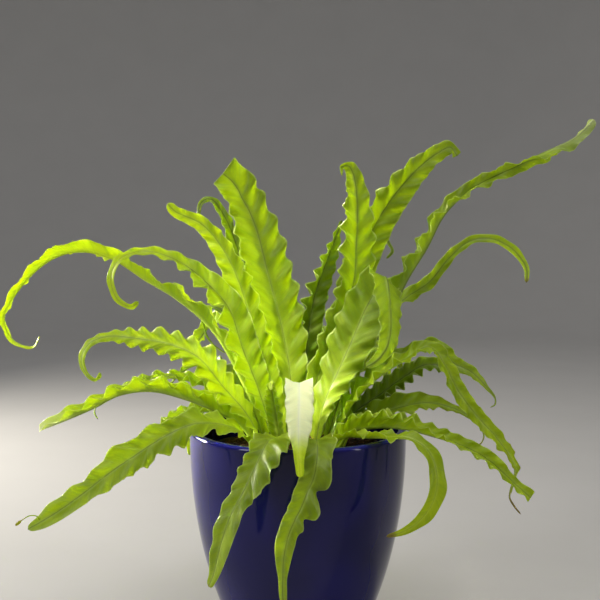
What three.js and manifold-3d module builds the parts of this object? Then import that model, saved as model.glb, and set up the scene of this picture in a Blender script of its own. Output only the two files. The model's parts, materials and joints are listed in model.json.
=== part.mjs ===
// A potted bird's-nest fern with ruffled, strap-shaped fronds in a glazed pot.
// Millimetres, +Z up. The origin is the centre of the pot's flat underside,
// -Y is the side that the plant shows to a viewer, and +X is to the viewer's right.

import * as THREE from 'three';
import { mergeVertices } from 'three/addons/utils/BufferGeometryUtils.js';
import Module from 'manifold-3d';

// Driving dimensions of the pot, in millimetres.
const POT_HEIGHT = 170;
const RIM_RADIUS = 87;
const BASE_RADIUS = 48;
const LIP_WIDTH = 7;
const LIP_ROUND = 2.5;
const LIP_CUT = 0.75;
const LIP_DEPTH = 7.5;
const FLOOR_THICKNESS = 8;
const POT_FACETS = 40;
const OUTER_STEPS = 8;
const INNER_STEPS = 5;

// The wall is upright from this share of the height, and swells by this power below it.
const UPRIGHT_FROM = 0.95;
const WALL_SWELL = 0.78;

// The potting mix fills the pot to a little under its lip.
const MIX_TOP = 150;
const MIX_CLEARANCE = 0.3;
const MIX_WALL_GAP = 0.9;

// The crown is the short woody stock that every frond grows from.
const CROWN_RADIUS = 42;
const CROWN_DEPTH = 9;
const CROWN_RISE = 9;
const CROWN_FACETS = 32;
const DOME_ANGLES = [0, 30, 55, 75];
const SOCKET_GAP = 0.35;

// A frond's blade: a stout midrib with a thin half blade on either side.
const MIDRIB_AT_BASE = 2.8;
const MIDRIB_AT_TIP = 1.3;
const MARGIN_THICKNESS = 1.15;
const STALK_LENGTH = 20;
const ROUTE_STEPS = 240;
const ARC_STEPS = 600;

// Margin rows begin this many stalk lengths up, where the stalk turns into the blade.
const STALK_ROOM = 1.2;

// A half blade is folded up in full from this half width on, and past the stalk's half
// width its margin leans forward by a share of the rest.
const FULL_FOLD_HALF = 8;
const STALK_HALF = 3;
const FORWARD_LEAN = 0.25;

// Waves come at uneven steps and heights: each is the least plus a drawn share of the spread.
const STEP_LEAST = 0.8;
const STEP_SPREAD = 0.4;
const WAVE_LEAST = 0.6;
const WAVE_SPREAD = 0.7;

// Two directions closer than this (squared) count as one, and so do corners closer
// than this (millimetres).
const STRAIGHT = 1e-12;
const SAME_CORNER = 1e-4;

const DEGREE = Math.PI / 180;
const UP = new THREE.Vector3(0, 0, 1);

const GREENS = { young: 0xa9d032, full: 0x86b52a, shaded: 0x5f8a2c };

// One entry a frond. A route is a list of [x, y, z] from the crown to the tip, and a
// profile is a list of [reach, height] that leaves the crown at an azimuth and drifts
// sideways by some degrees. Widths and rolls are given at equal steps along the frond.
// Roll 0 lays the upper face up, fold lifts the left and right half blades off flat,
// and ruffle is the height of a wave at the margin as a share of the half width.
// Where a frond faces the viewer, its lobes and notches were followed one by one. It has
// margins in place of waves, width and ruffle: rows of [share of its length, left reach,
// left wave, right reach, right wave], in millimetres but for the first.
const FRONDS = [
  {
    name: 'frond_left_long_arch', green: 'young', waves: 14, stretch: 0.6, fold: [42, 42],
    route: [[-22, 5, 147], [-40, 8, 194], [-69, 12, 246], [-98, 15, 272], [-125, 19, 288],
      [-153, 22, 305], [-181, 24, 311], [-206, 24, 303], [-231, 24, 279], [-243, 22, 254],
      [-233, 20, 236], [-218, 18, 233], [-212, 16, 242]],
    width: [6, 18, 26, 24, 17, 20, 14, 8, 4], roll: [0, 10, 10, 10, 50, 20, 30, 35],
    ruffle: [0, 0.25, 0.32, 0.32, 0.3, 0.3, 0.3, 0.1],
  },
  {
    name: 'frond_left_hook', green: 'full', waves: 15, stretch: 0.6, fold: [30, 30],
    route: [[-16, -5, 147], [-32, -8, 202], [-44, -10, 234], [-55, -12, 267], [-72, -13, 287],
      [-94, -14, 304], [-118, -16, 312], [-138, -17, 307], [-146, -18, 293],
      [-142, -18, 276], [-131, -18, 269], [-125, -18, 273]],
    width: [6, 18, 28, 30, 25, 15, 8.5, 8, 5], roll: [-20, -70, -75, -65, -55, -60, -65],
    ruffle: [0, 0.22, 0.28, 0.35, 0.4, 0.3, 0.1, 0],
  },
  {
    name: 'frond_left_upright', green: 'young', waves: 13, stretch: 0.8, fold: [15, 15],
    route: [[-11, 1, 147], [-21, 5, 200], [-31, 7, 232], [-38.5, 9, 257], [-49, 10, 290],
      [-59.5, 12, 311], [-70.5, 13, 326.5], [-81, 14, 335.5], [-91.5, 14, 340],
      [-100.5, 13, 344.5], [-105.5, 12, 350]],
    width: [6, 15, 22, 26, 25, 20, 14, 8], roll: [-30, -70, -80, -80, -70],
    ruffle: [0, 0.25, 0.3, 0.35, 0.35, 0.3, 0.2],
  },
  {
    name: 'frond_left_dark_hook', green: 'shaded', waves: 16, stretch: 0.7, fold: [35, 35],
    route: [[-6, 17, 147], [-19, 30, 205], [-34, 42, 262], [-50, 46, 310], [-62, 46, 340],
      [-74, 45, 355], [-82, 43, 350], [-83, 41, 340], [-79, 39, 334]],
    width: [6, 14, 20, 20, 18, 14, 7, 3], roll: [0, -40, -60, -60, -40, 0],
    ruffle: [0, 0.28, 0.4, 0.4, 0.4, 0.2],
  },
  {
    name: 'frond_tall_broad', green: 'full', fold: [20, 14],
    route: [[-4, 10, 147], [-6, 20, 203], [-11, 27, 236], [-18, 31, 265], [-26, 34, 296],
      [-34, 35, 327], [-40, 35, 343], [-46, 34, 354], [-53, 32, 367], [-62, 30, 375]],
    roll: [0, 0, 0, -5, -10],
    margins: [[0, 3.5, 0, 3.5, 0], [0.08, 4.5, 0, 4.5, 0], [0.13, 8, 1.5, 8, -1.5],
      [0.18, 11, -2, 11, 2], [0.23, 13.5, 2.5, 13, -3], [0.28, 16, -3, 16, 3],
      [0.325, 18, 3, 17.5, -3.5], [0.37, 19, -3, 20.5, 4], [0.41, 20, 4, 19, -4.5],
      [0.45, 21, -4, 22.5, 4.5], [0.49, 21.5, 3.5, 20, -4.5], [0.53, 21.5, -4, 23.5, 5],
      [0.57, 22, 4, 20, -4.5], [0.61, 24, -3.5, 22.5, 4.5], [0.65, 21, 4, 19.5, -5],
      [0.69, 22.5, -3, 22.5, 4.5], [0.735, 19.5, 3.5, 18.5, -5], [0.775, 20.5, -4, 20.5, 5],
      [0.815, 17, 4, 15.5, -5], [0.855, 17, -3.5, 20, 4.5], [0.89, 14.5, 4, 16.5, -4],
      [0.925, 15, -4, 19, 4], [0.96, 15, 3.5, 16, -4], [1, 11.5, -3, 18.5, 4]],
  },
  {
    name: 'frond_left_ruffled_curl', green: 'young', waves: 18, stretch: 0.55, fold: [10, 5],
    route: [[-24, -14, 147], [-40, -22, 183], [-59, -27, 207], [-78, -28, 230],
      [-100, -27, 240], [-123, -26, 244], [-148, -25, 246], [-163, -24, 240],
      [-169, -24, 228], [-164, -24, 215], [-157, -24, 212], [-155, -24, 218]],
    width: [6, 17, 28, 32, 29, 22, 9.5, 8, 3.5], roll: [0, -45, -55, -60, -70, -80, -75],
    ruffle: [0, 0.2, 0.26, 0.28, 0.28, 0.2, 0.05, 0],
  },
  {
    name: 'frond_left_low_point', green: 'young', waves: 10, stretch: 1, fold: [50, 50],
    route: [[-31, -5, 147], [-46, -7, 173], [-68, -11, 186], [-89, -14, 195],
      [-116, -17, 202], [-141, -19, 199], [-161, -20, 189], [-186, -20, 178], [-204, -20, 171]],
    width: [6, 16, 26, 28, 26, 22, 20, 19, 11], roll: [0, 0, 0, 0, -10, -30],
    ruffle: [0, 0.15, 0.25, 0.3, 0.3, 0.3, 0.2],
  },
  {
    name: 'frond_left_low_thin', green: 'full', waves: 13, stretch: 0.8, fold: [40, 40],
    route: [[-28, 8, 147], [-48, 12, 177], [-68, 14, 197], [-92, 14, 206], [-120, 12, 208],
      [-139, 8, 203], [-154, 4, 194], [-165, 1, 184], [-162, 0, 176]],
    width: [6, 12, 16, 16, 13, 9, 5, 2.5], roll: [0, -20, -20, 0, 0],
    ruffle: [0, 0.4, 0.5, 0.5, 0.2, 0],
  },
  {
    name: 'frond_left_near_broad', green: 'full', fold: [8, 14],
    route: [[-27, -20, 147], [-46, -33, 173], [-64, -44, 181], [-81, -54, 182],
      [-100, -65, 175], [-119, -75, 164], [-138, -86, 152], [-160, -97, 136],
      [-178, -105, 125], [-190, -110, 119]],
    roll: [0, -30, -45, -45, -40],
    margins: [[0, 3, 0, 3, 0], [0.085, 4.5, 0, 4.5, 0], [0.13, 10, 1.5, 8, -1.5],
      [0.17, 15, -2, 10, 2.5], [0.21, 16.5, 2.5, 11, -3], [0.25, 16.5, -1.5, 11.5, 3],
      [0.29, 14, 3.5, 11, -3], [0.33, 15.5, -2.5, 13, 4], [0.37, 14, 3.5, 13, -3.5],
      [0.41, 17, -3, 9, 3.5], [0.445, 15.5, 3.5, 14.5, -4], [0.48, 16, -3, 13.5, 3],
      [0.51, 11.5, 3.5, 14, -2], [0.545, 14.5, -3, 10.5, 3.5], [0.58, 14, 3, 15.5, -3],
      [0.62, 12.5, -2, 15, 2], [0.67, 12, 2, 12, -2], [0.72, 11.5, -2, 9.5, 2],
      [0.76, 9.5, 2, 8.5, -2], [0.8, 8, -1.5, 9.5, 2], [0.85, 8.5, 1, 9.5, -1],
      [0.9, 7.5, -1, 8.5, 1], [0.95, 6.5, 0.5, 6, -0.5], [1, 3, 0, 3, 0]],
  },
  {
    name: 'frond_front_left_hanging', green: 'full', fold: [10, 10],
    route: [[-10, -26, 147], [-12, -45, 167], [-17, -65, 174], [-22, -85, 175],
      [-29, -99, 163], [-38, -105, 145], [-48.5, -110, 125], [-55.5, -112, 102],
      [-59, -112, 87], [-63, -111, 78]],
    roll: [0, 0, 0, 0, 10],
    margins: [[0, 3, 0, 3, 0], [0.11, 4.5, 0, 4.5, 0], [0.16, 8, -1.5, 8, -1.5],
      [0.21, 12, 2.5, 11, 2.5], [0.26, 15, -3, 13, -3], [0.31, 17, 3, 14, 3],
      [0.36, 18, -2.5, 13, -3], [0.4, 20.5, -3, 12, 3], [0.435, 20.5, 2.5, 11.5, -2],
      [0.465, 16, -4, 11.5, 2], [0.5, 19, 4, 12, -1.5], [0.53, 16, -4, 11.5, 1.5],
      [0.565, 17, 3, 11.5, -1.5], [0.6, 15.5, 4, 10, 1], [0.63, 10, -3, 10, -1],
      [0.67, 10.5, 1.5, 10, 1], [0.72, 11, -1, 10, -1], [0.77, 11, 0.5, 9.5, 0.5],
      [0.82, 10.5, -0.5, 8.5, -0.5], [0.87, 9.5, 0.5, 7.5, 0.5], [0.92, 7.5, 0, 6, 0],
      [0.965, 5, 0, 4.5, 0], [1, 3.5, 0, 3, 0]],
  },
  {
    name: 'frond_front_hanging', green: 'full', fold: [8, 8],
    route: [[6, -27, 147], [10, -48, 165], [13, -68, 173], [14, -84, 175], [14, -96, 167],
      [11, -102, 153], [5, -106, 140], [2, -108, 133], [-5, -111, 119], [-9.5, -113, 101],
      [-10.5, -112, 80], [-10.5, -110, 66], [-9, -108, 56]],
    roll: [0, 0, 0, 0, 0],
    margins: [[0, 3, 0, 3, 0], [0.1, 4.5, 0, 4.5, 0], [0.15, 8, 1, 8, -1],
      [0.2, 11, -2, 11, 2], [0.25, 13, 2.5, 12, -2.5], [0.295, 14, -2, 13, 2],
      [0.335, 15.5, 2, 13.5, -2], [0.37, 12.5, -2, 13, 2], [0.4, 11, 1.5, 12.5, -1.5],
      [0.43, 12, 3, 11, 2], [0.46, 13.5, 2, 10.5, -2], [0.49, 12.5, -4, 10, 1],
      [0.515, 5.5, -4, 10.5, -1], [0.545, 12, 3, 9.5, 1], [0.575, 15.5, 5, 9.5, -1],
      [0.6, 13, 2, 9, 1], [0.62, 5.5, -4, 9, -1], [0.645, 9.5, 3, 8.5, 1],
      [0.68, 7, -1.5, 9, -1], [0.73, 6.5, 1, 8, 1], [0.79, 5.5, -1, 6.5, -1],
      [0.85, 3.2, 0.5, 3.4, 0.5], [0.91, 3.2, 0, 3, 0], [1, 1.2, 0, 1.2, 0]],
  },
  {
    name: 'frond_centre_young', green: 'young', fold: [10, 10],
    route: [[1, -13, 147], [1, -19, 185], [1, -29, 206], [1, -44, 212], [0.9, -68, 200],
      [0.4, -90, 184], [0.9, -104, 167], [1.7, -110, 156]],
    roll: [0, 0, 0, 0],
    margins: [[0, 3, 0, 3, 0], [0.12, 4, 0, 4, 0], [0.17, 5.5, 0.5, 5.5, -0.5],
      [0.22, 7, -1, 7, 1], [0.27, 9, 1.5, 9, -1.5], [0.32, 10.5, -1.5, 10.5, 1.5],
      [0.37, 11.5, 2, 11.5, -2], [0.42, 11.5, -2, 11.5, 2], [0.47, 11, 1.5, 11, -1.5],
      [0.52, 11.5, -1, 11.5, 1], [0.57, 11.5, 1, 11, -1], [0.62, 11.5, -0.5, 11, 1],
      [0.67, 11.5, 1, 10, -1], [0.72, 11, -1, 9.5, 1], [0.77, 10, 0.5, 8.5, -1],
      [0.81, 8.5, -0.5, 7, 0.5], [0.86, 6.5, 0.5, 5, 0], [0.92, 4, 0, 3.5, 0],
      [1, 2.8, 0, 2.8, 0]],
  },
  {
    name: 'frond_centre_edge_on', green: 'young', waves: 10, stretch: 0.8, fold: [40, 40],
    route: [[-13, -14, 147], [-17, -20, 178], [-20, -28, 200], [-21, -40, 212], [-20, -50, 208]],
    width: [6, 12, 15, 14, 8, 3], roll: [0, 60, 80, 60],
    ruffle: [0, 0.4, 0.5, 0.3],
  },
  {
    name: 'frond_left_hidden_tip', green: 'shaded', waves: 10, stretch: 0.7, fold: [30, 30],
    route: [[-15, 16, 147], [-31, 31, 200], [-53, 48, 243], [-71, 58, 262], [-81, 61, 255],
      [-80, 61, 240], [-73, 61, 229], [-63, 61, 222]],
    width: [6, 14, 18, 18, 12, 8, 6, 3], roll: [0, 0, 0, 0],
    ruffle: [0, 0.3, 0.35, 0.2, 0],
  },
  {
    name: 'frond_right_upright_curl', green: 'full', waves: 12, stretch: 0.7, fold: [14, 14],
    route: [[7, 1, 147], [14, 8, 203], [30, 14, 243], [42, 17, 273], [46, 17, 292],
      [47, 18, 312], [48, 18, 333], [48, 18, 349], [47, 18, 363], [44, 17, 376],
      [39, 16, 382], [34.5, 13, 379], [35.5, 10, 372]],
    width: [6, 15, 22, 28, 33, 34, 34, 32, 24, 14, 3], roll: [50, 70, 75, 70, 40],
    ruffle: [0, 0.2, 0.25, 0.28, 0.3, 0.2],
  },
  {
    name: 'frond_right_back_hooked', green: 'full', waves: 13, stretch: 0.8, fold: [20, 20],
    route: [[13, 16, 147], [25, 31, 213], [43, 39, 270], [57, 42, 316], [71, 42, 344],
      [88, 42, 367], [107, 41, 386], [121, 40, 395], [129, 38, 397], [132, 36, 390]],
    width: [6, 16, 22, 26, 30, 33, 32, 28, 18, 10], roll: [30, 50, 48, 50, 35],
    ruffle: [0, 0.3, 0.3, 0.3, 0.35, 0.3],
  },
  {
    name: 'frond_right_dark_pointed', green: 'shaded', waves: 13, stretch: 0.8, fold: [30, 30],
    route: [[3, 19, 147], [5, 35, 201], [8, 44, 238], [13, 49, 270], [22, 51, 297],
      [30, 51, 318], [37, 51, 337]],
    width: [6, 14, 20, 24, 24, 18, 4], roll: [0, 20, 40, 50],
    ruffle: [0, 0.3, 0.35, 0.35, 0.3],
  },
  {
    name: 'frond_right_folded_over', green: 'full', waves: 12, stretch: 0.9, fold: [5, 5],
    route: [[13, -8, 147], [21, -10, 190], [33, -9, 218], [44, -7, 243], [53, -5, 264],
      [60, -4, 277], [65, -7, 287], [68, -15, 292], [69, -25, 289.5], [70, -33, 279],
      [71, -37, 263], [70, -39, 247], [64, -41, 233], [52, -42, 224.5]],
    width: [6, 16, 27, 36, 40, 39, 34, 30, 20, 15, 5], roll: [30, 60, 82, 90, 118, 135],
    ruffle: [0, 0.2, 0.25, 0.2, 0.07, 0.1, 0.05],
  },
  {
    name: 'frond_right_longest', green: 'full', waves: 17, stretch: 1, fold: [45, 45],
    route: [[19, 2, 147], [38, 4, 204], [71, 7, 252], [88, 9, 288], [104, 11, 314],
      [119, 12, 342], [141, 11, 362], [169, 10, 377], [196, 9, 390], [221, 8, 402],
      [237, 8, 417]],
    width: [6, 14, 20, 25, 27, 24, 19, 15, 14, 17, 9], roll: [0, 0, -10, -10, 0, 60, 150, 230],
    ruffle: [0, 0.3, 0.4, 0.4, 0.35, 0.3, 0.2],
  },
  {
    name: 'frond_right_arch', green: 'full', waves: 13, stretch: 1, fold: [30, 30],
    route: [[21, 11, 147], [42, 22, 206], [67, 30, 246], [88, 32, 270], [110, 33, 286],
      [124, 34, 303], [143, 34, 319], [162, 34, 321], [180, 33, 311], [190, 32, 296],
      [190, 31, 285]],
    width: [6, 10, 15, 16, 17, 16, 12, 10, 9, 9, 4], roll: [0, 20, 60, -20, 60, 30, 40, 40],
    ruffle: [0, 0.3, 0.35, 0.35, 0.3, 0.1, 0],
  },
  {
    name: 'frond_right_hidden_tip', green: 'shaded', waves: 10, stretch: 0.7, fold: [25, 25],
    route: [[12, 25, 147], [27, 43, 205], [39, 57, 255], [50, 63, 300], [59, 65, 325],
      [68, 65, 332], [77, 64, 319], [81, 63, 310], [76, 62, 304]],
    width: [6, 14, 20, 22, 18, 12, 8, 6, 3], roll: [0, 0, 0, 0],
    ruffle: [0, 0.3, 0.3, 0.2, 0],
  },
  {
    name: 'frond_right_twisted_drop', green: 'young', waves: 16, stretch: 0.9, fold: [25, 25],
    route: [[27, -7, 147], [42, -11, 189], [65, -15, 214], [86, -19, 228], [103, -20, 237],
      [115, -21, 223], [125, -22, 204], [140, -23, 184], [158, -24, 163], [171, -24, 140],
      [167, -25, 118], [176, -25, 105]],
    width: [6, 16, 24, 23, 18, 16, 15, 14, 13, 13, 7, 2.5], roll: [0, 20, 20, 60, 90, 40, 20],
    ruffle: [0, 0.25, 0.32, 0.3, 0.25, 0.25, 0.2, 0.1],
  },
  {
    name: 'frond_right_hooked_arch', green: 'full', waves: 14, stretch: 0.7, fold: [15, 30],
    route: [[30, 1, 147], [44, 5, 189], [66, 8, 215], [90, 8, 230], [111, 6, 235],
      [126, 3, 221], [139, 0, 215], [153, -1, 201], [160, -2, 190], [155, -2, 186]],
    width: [6, 12, 18, 18, 15, 13, 15, 12, 6, 2.5], roll: [0, 20, 20, 40, 50, 0],
    ruffle: [0, 0.4, 0.45, 0.35, 0.2, 0.1],
  },
  {
    name: 'frond_right_dull_ribbon', green: 'shaded', waves: 13, stretch: 1, fold: [25, 25],
    route: [[29, 8, 147], [45, 16, 176], [67, 23, 191], [88, 26, 206], [107, 25, 217],
      [122, 22, 214], [131, 19, 203], [134, 17, 192]],
    width: [6, 14, 20, 22, 20, 15, 10, 4], roll: [0, 20, 30, 30, 0],
    ruffle: [0, 0.35, 0.35, 0.3, 0.1],
  },
  {
    name: 'frond_right_low_curl', green: 'full', waves: 9, stretch: 0.7, fold: [25, 25],
    route: [[34, -3, 147], [45, -2, 169], [64, -3, 180], [84, -6, 187], [104, -10, 191],
      [124, -13, 187], [141, -14, 177], [148, -15, 166], [144, -15, 158], [139, -15, 162]],
    width: [6, 14, 22, 26, 24, 16, 9, 5, 3, 2.2], roll: [0, 20, 40, 30, 0],
    ruffle: [0, 0.25, 0.25, 0.2, 0.1, 0],
  },
  {
    name: 'frond_right_near_low', green: 'young', waves: 14, stretch: 1.3, fold: [42, 42],
    route: [[29, -20, 147], [40, -28, 170], [61, -37, 177], [82, -43, 177], [101, -48, 173],
      [121, -53, 167], [139, -58, 159], [154, -62, 147], [165, -64, 137], [174, -65, 129]],
    width: [6, 20, 30, 32, 28, 20, 16, 15, 15, 9, 13], roll: [0, -5, 0, 20, 50, 55, 60],
    ruffle: [0, 0.25, 0.28, 0.3, 0.25, 0.25, 0.3],
  },
  {
    name: 'frond_right_near_hanging', green: 'young', waves: 8, stretch: 1, fold: [15, 15],
    route: [[22, -25, 147], [33, -43, 170], [52, -59, 174], [70, -71, 176], [86, -77, 175],
      [97, -81, 165], [101, -84, 150], [98, -86, 132], [87, -88, 118], [75, -90, 111],
      [64, -91, 108]],
    width: [6, 14, 19, 20, 20, 16, 14, 16, 15, 10, 3], roll: [0, 0, 10, 50, 50, 40],
    ruffle: [0, 0.25, 0.25, 0.15, 0.05, 0],
  },
  {
    name: 'frond_back_right_low', green: 'full', waves: 10, stretch: 1.2, fold: [20, 20],
    azimuth: 47, drift: 6,
    profile: [[36, 147], [53, 166], [76, 175], [100, 172], [122, 161], [142, 146], [156, 133]],
    width: [6, 16, 24, 26, 22, 16, 4], roll: [0, 0, 10, 0], ruffle: [0, 0.3, 0.3, 0.2, 0.1],
  },
  {
    name: 'frond_back_low', green: 'young', waves: 10, stretch: 1.2, fold: [15, 15],
    azimuth: 74, drift: 4,
    profile: [[36, 147], [54, 168], [84, 181], [114, 180], [144, 164], [170, 138], [186, 108]],
    width: [6, 18, 28, 32, 28, 20, 5], roll: [0, 0, -10, 0], ruffle: [0, 0.3, 0.3, 0.2, 0.1],
  },
  {
    name: 'frond_back_centre_low', green: 'full', waves: 11, stretch: 1, fold: [20, 20],
    azimuth: 106, drift: 8,
    profile: [[36, 147], [54, 166], [82, 178], [114, 174], [146, 157], [172, 132], [190, 104]],
    width: [6, 18, 28, 30, 26, 18, 5], roll: [0, 0, 15, 0], ruffle: [0, 0.3, 0.3, 0.25, 0.1],
  },
  {
    name: 'frond_back_left_low', green: 'young', waves: 10, stretch: 1, fold: [20, 20],
    azimuth: 131, drift: -6,
    profile: [[36, 147], [54, 168], [82, 180], [112, 176], [142, 160], [168, 134], [182, 112]],
    width: [6, 18, 28, 30, 24, 16, 4], roll: [0, 0, -10, 0], ruffle: [0, 0.3, 0.3, 0.2, 0.1],
  },
  {
    name: 'frond_back_far_left_low', green: 'full', waves: 9, stretch: 1, fold: [20, 20],
    azimuth: 156, drift: -8,
    profile: [[36, 147], [51, 165], [75, 175], [102, 173], [128, 160], [148, 142]],
    width: [6, 16, 22, 24, 18, 4], roll: [0, 0, 10, 0], ruffle: [0, 0.3, 0.3, 0.2],
  },
  {
    name: 'frond_back_right_arch', green: 'full', waves: 11, stretch: 0.9, fold: [25, 25],
    azimuth: 39, drift: 5,
    profile: [[31, 147], [45, 182], [64, 211], [85, 227], [105, 225], [120, 211], [128, 196]],
    width: [6, 12, 19, 23, 20, 12, 3], roll: [0, 10, 20, 0], ruffle: [0, 0.3, 0.35, 0.3, 0.1],
  },
  {
    name: 'frond_back_long_arch', green: 'full', waves: 14, stretch: 0.8, fold: [25, 25],
    azimuth: 60, drift: 8,
    profile: [[32, 147], [54, 180], [80, 212], [110, 232], [142, 234], [172, 218], [194, 188],
      [200, 162], [192, 148], [182, 151]],
    width: [6, 16, 26, 28, 24, 18, 11, 6, 3], roll: [0, 10, 20, 0, 0],
    ruffle: [0, 0.35, 0.4, 0.35, 0.2, 0],
  },
  {
    name: 'frond_back_arch', green: 'young', waves: 12, stretch: 0.9, fold: [25, 25],
    azimuth: 98, drift: -6,
    profile: [[34, 147], [48, 175], [72, 198], [102, 208], [134, 202], [166, 180], [188, 150]],
    width: [6, 13, 24, 28, 24, 16, 4], roll: [0, -10, -20, 0], ruffle: [0, 0.3, 0.35, 0.3, 0.1],
  },
  {
    name: 'frond_back_left_arch', green: 'full', waves: 13, stretch: 0.8, fold: [25, 25],
    azimuth: 125, drift: 8,
    profile: [[30, 147], [48, 186], [72, 222], [98, 243], [126, 244], [152, 224], [168, 196],
      [166, 176], [156, 172]],
    width: [6, 14, 23, 27, 23, 15, 8, 3], roll: [0, 10, 20, 0, 0],
    ruffle: [0, 0.35, 0.4, 0.3, 0.1],
  },
  {
    name: 'frond_back_far_left_arch', green: 'shaded', waves: 10, stretch: 0.9, fold: [25, 25],
    azimuth: 146, drift: 6,
    profile: [[30, 147], [46, 178], [70, 204], [94, 214], [115, 207], [130, 190]],
    width: [6, 14, 20, 22, 16, 4], roll: [0, 0, -10, 0], ruffle: [0, 0.3, 0.3, 0.2],
  },
  {
    name: 'frond_back_upright', green: 'full', waves: 11, stretch: 0.9, fold: [22, 22],
    azimuth: 83, drift: -3,
    profile: [[30, 147], [47, 192], [64, 222], [86, 235], [110, 231], [130, 212]],
    width: [6, 12, 22, 27, 20, 5], roll: [0, 0, 0, 0], ruffle: [0, 0.25, 0.3, 0.3, 0.1],
  },
  {
    name: 'frond_back_tall', green: 'full', waves: 13, stretch: 0.9, fold: [20, 20],
    azimuth: 110, drift: 4,
    profile: [[28, 147], [50, 205], [70, 262], [90, 302], [112, 321], [136, 314]],
    width: [6, 12, 22, 32, 34, 24, 6], roll: [0, 0, 10, 20], ruffle: [0, 0.25, 0.3, 0.3, 0.15],
  },
];

// The same numbers in the same order on every run: each frond draws from its own seed.
function makeDraw(seed) {
  const modulus = 2147483647;
  const multiplier = 16807;
  const seedStep = 7919;
  const seedStart = 104729;
  let state = (seed * seedStep + seedStart) % modulus;
  return function draw() {
    state = (state * multiplier) % modulus;
    return state / modulus;
  };
}

// A smooth value between numbers that stand at equal steps from 0 to 1.
function along(values, t) {
  const last = values.length - 1;
  const place = Math.min(Math.max(t, 0), 1) * last;
  const i = Math.min(Math.floor(place), last - 1);
  const f = place - i;
  const before = values[Math.max(i - 1, 0)];
  const from = values[i];
  const to = values[i + 1];
  const after = values[Math.min(i + 2, last)];
  const leave = (to - before) / 2;
  const arrive = (after - from) / 2;
  const bend = 3 * (to - from) - 2 * leave - arrive;
  const ease = 2 * (from - to) + leave + arrive;
  return from + f * (leave + f * (bend + f * ease));
}

function routePoints(frond) {
  if (frond.route) return frond.route.map((p) => new THREE.Vector3(...p));
  const last = frond.profile.length - 1;
  return frond.profile.map(([reach, height], i) => {
    const angle = (frond.azimuth + (frond.drift ?? 0) * (i / last) ** 2) * DEGREE;
    return new THREE.Vector3(reach * Math.cos(angle), reach * Math.sin(angle), height);
  });
}

// A direction mirrored in the plane that the given vector stands square on.
function mirrored(direction, across) {
  const share = -2 * across.dot(direction) / across.lengthSq();
  return direction.clone().addScaledVector(across, share);
}

// Points at equal steps along the route, with a side direction carried along them
// that turns no more than the route does.
function carryFrames(frond) {
  const controls = routePoints(frond);
  const curve = new THREE.CatmullRomCurve3(controls, false, 'centripetal');
  curve.arcLengthDivisions = ARC_STEPS;
  const points = curve.getSpacedPoints(ROUTE_STEPS);
  const tangents = points.map((_, i) => {
    const ahead = points[Math.min(i + 1, ROUTE_STEPS)];
    const behind = points[Math.max(i - 1, 0)];
    return ahead.clone().sub(behind).normalize();
  });
  const outward = controls[1].clone().sub(controls[0]).setZ(0);
  const sides = [new THREE.Vector3().crossVectors(UP, outward).normalize()];
  for (let i = 0; i < ROUTE_STEPS; i += 1) {
    const chord = points[i + 1].clone().sub(points[i]);
    const side = mirrored(sides[i], chord);
    const gap = tangents[i + 1].clone().sub(mirrored(tangents[i], chord));
    if (gap.lengthSq() > STRAIGHT) side.copy(mirrored(side, gap));
    side.addScaledVector(tangents[i + 1], -side.dot(tangents[i + 1])).normalize();
    sides.push(side);
  }
  return { points, tangents, sides, length: curve.getLength() };
}

// The place, directions and sizes of the blade at a share t of the frond's length.
function bladeAt(frond, frames, t) {
  const place = Math.min(Math.max(t, 0), 1) * ROUTE_STEPS;
  const i = Math.min(Math.floor(place), ROUTE_STEPS - 1);
  const f = place - i;
  const point = frames.points[i].clone().lerp(frames.points[i + 1], f);
  const tangent = frames.tangents[i].clone().lerp(frames.tangents[i + 1], f).normalize();
  const carried = frames.sides[i].clone().lerp(frames.sides[i + 1], f);
  carried.addScaledVector(tangent, -carried.dot(tangent)).normalize();
  const upright = new THREE.Vector3().crossVectors(tangent, carried);
  const roll = along(frond.roll, t) * DEGREE;
  const side = carried.clone().multiplyScalar(Math.cos(roll)).addScaledVector(upright, Math.sin(roll));
  const normal = new THREE.Vector3().crossVectors(tangent, side);
  return {
    point, tangent, side, normal,
    rib: MIDRIB_AT_BASE + (MIDRIB_AT_TIP - MIDRIB_AT_BASE) * t,
  };
}

// How far both margins reach from the midrib at a share t of the frond's length.
function reachesAt(frond, t) {
  if (!frond.margins) {
    const half = along(frond.width, t) / 2;
    return { left: half, right: half };
  }
  const next = Math.max(frond.margins.findIndex((row) => row[0] > t), 1);
  const [before, after] = [frond.margins[next - 1], frond.margins[next]];
  const f = (t - before[0]) / (after[0] - before[0]);
  return { left: before[1] + f * (after[1] - before[1]), right: before[3] + f * (after[3] - before[3]) };
}

// A place on the stalk, where the margins lie flat.
function flatStation(frond, t) {
  const reach = reachesAt(frond, t);
  return { t, left: { reach: reach.left, wave: 0 }, right: { reach: reach.right, wave: 0 } };
}

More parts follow.
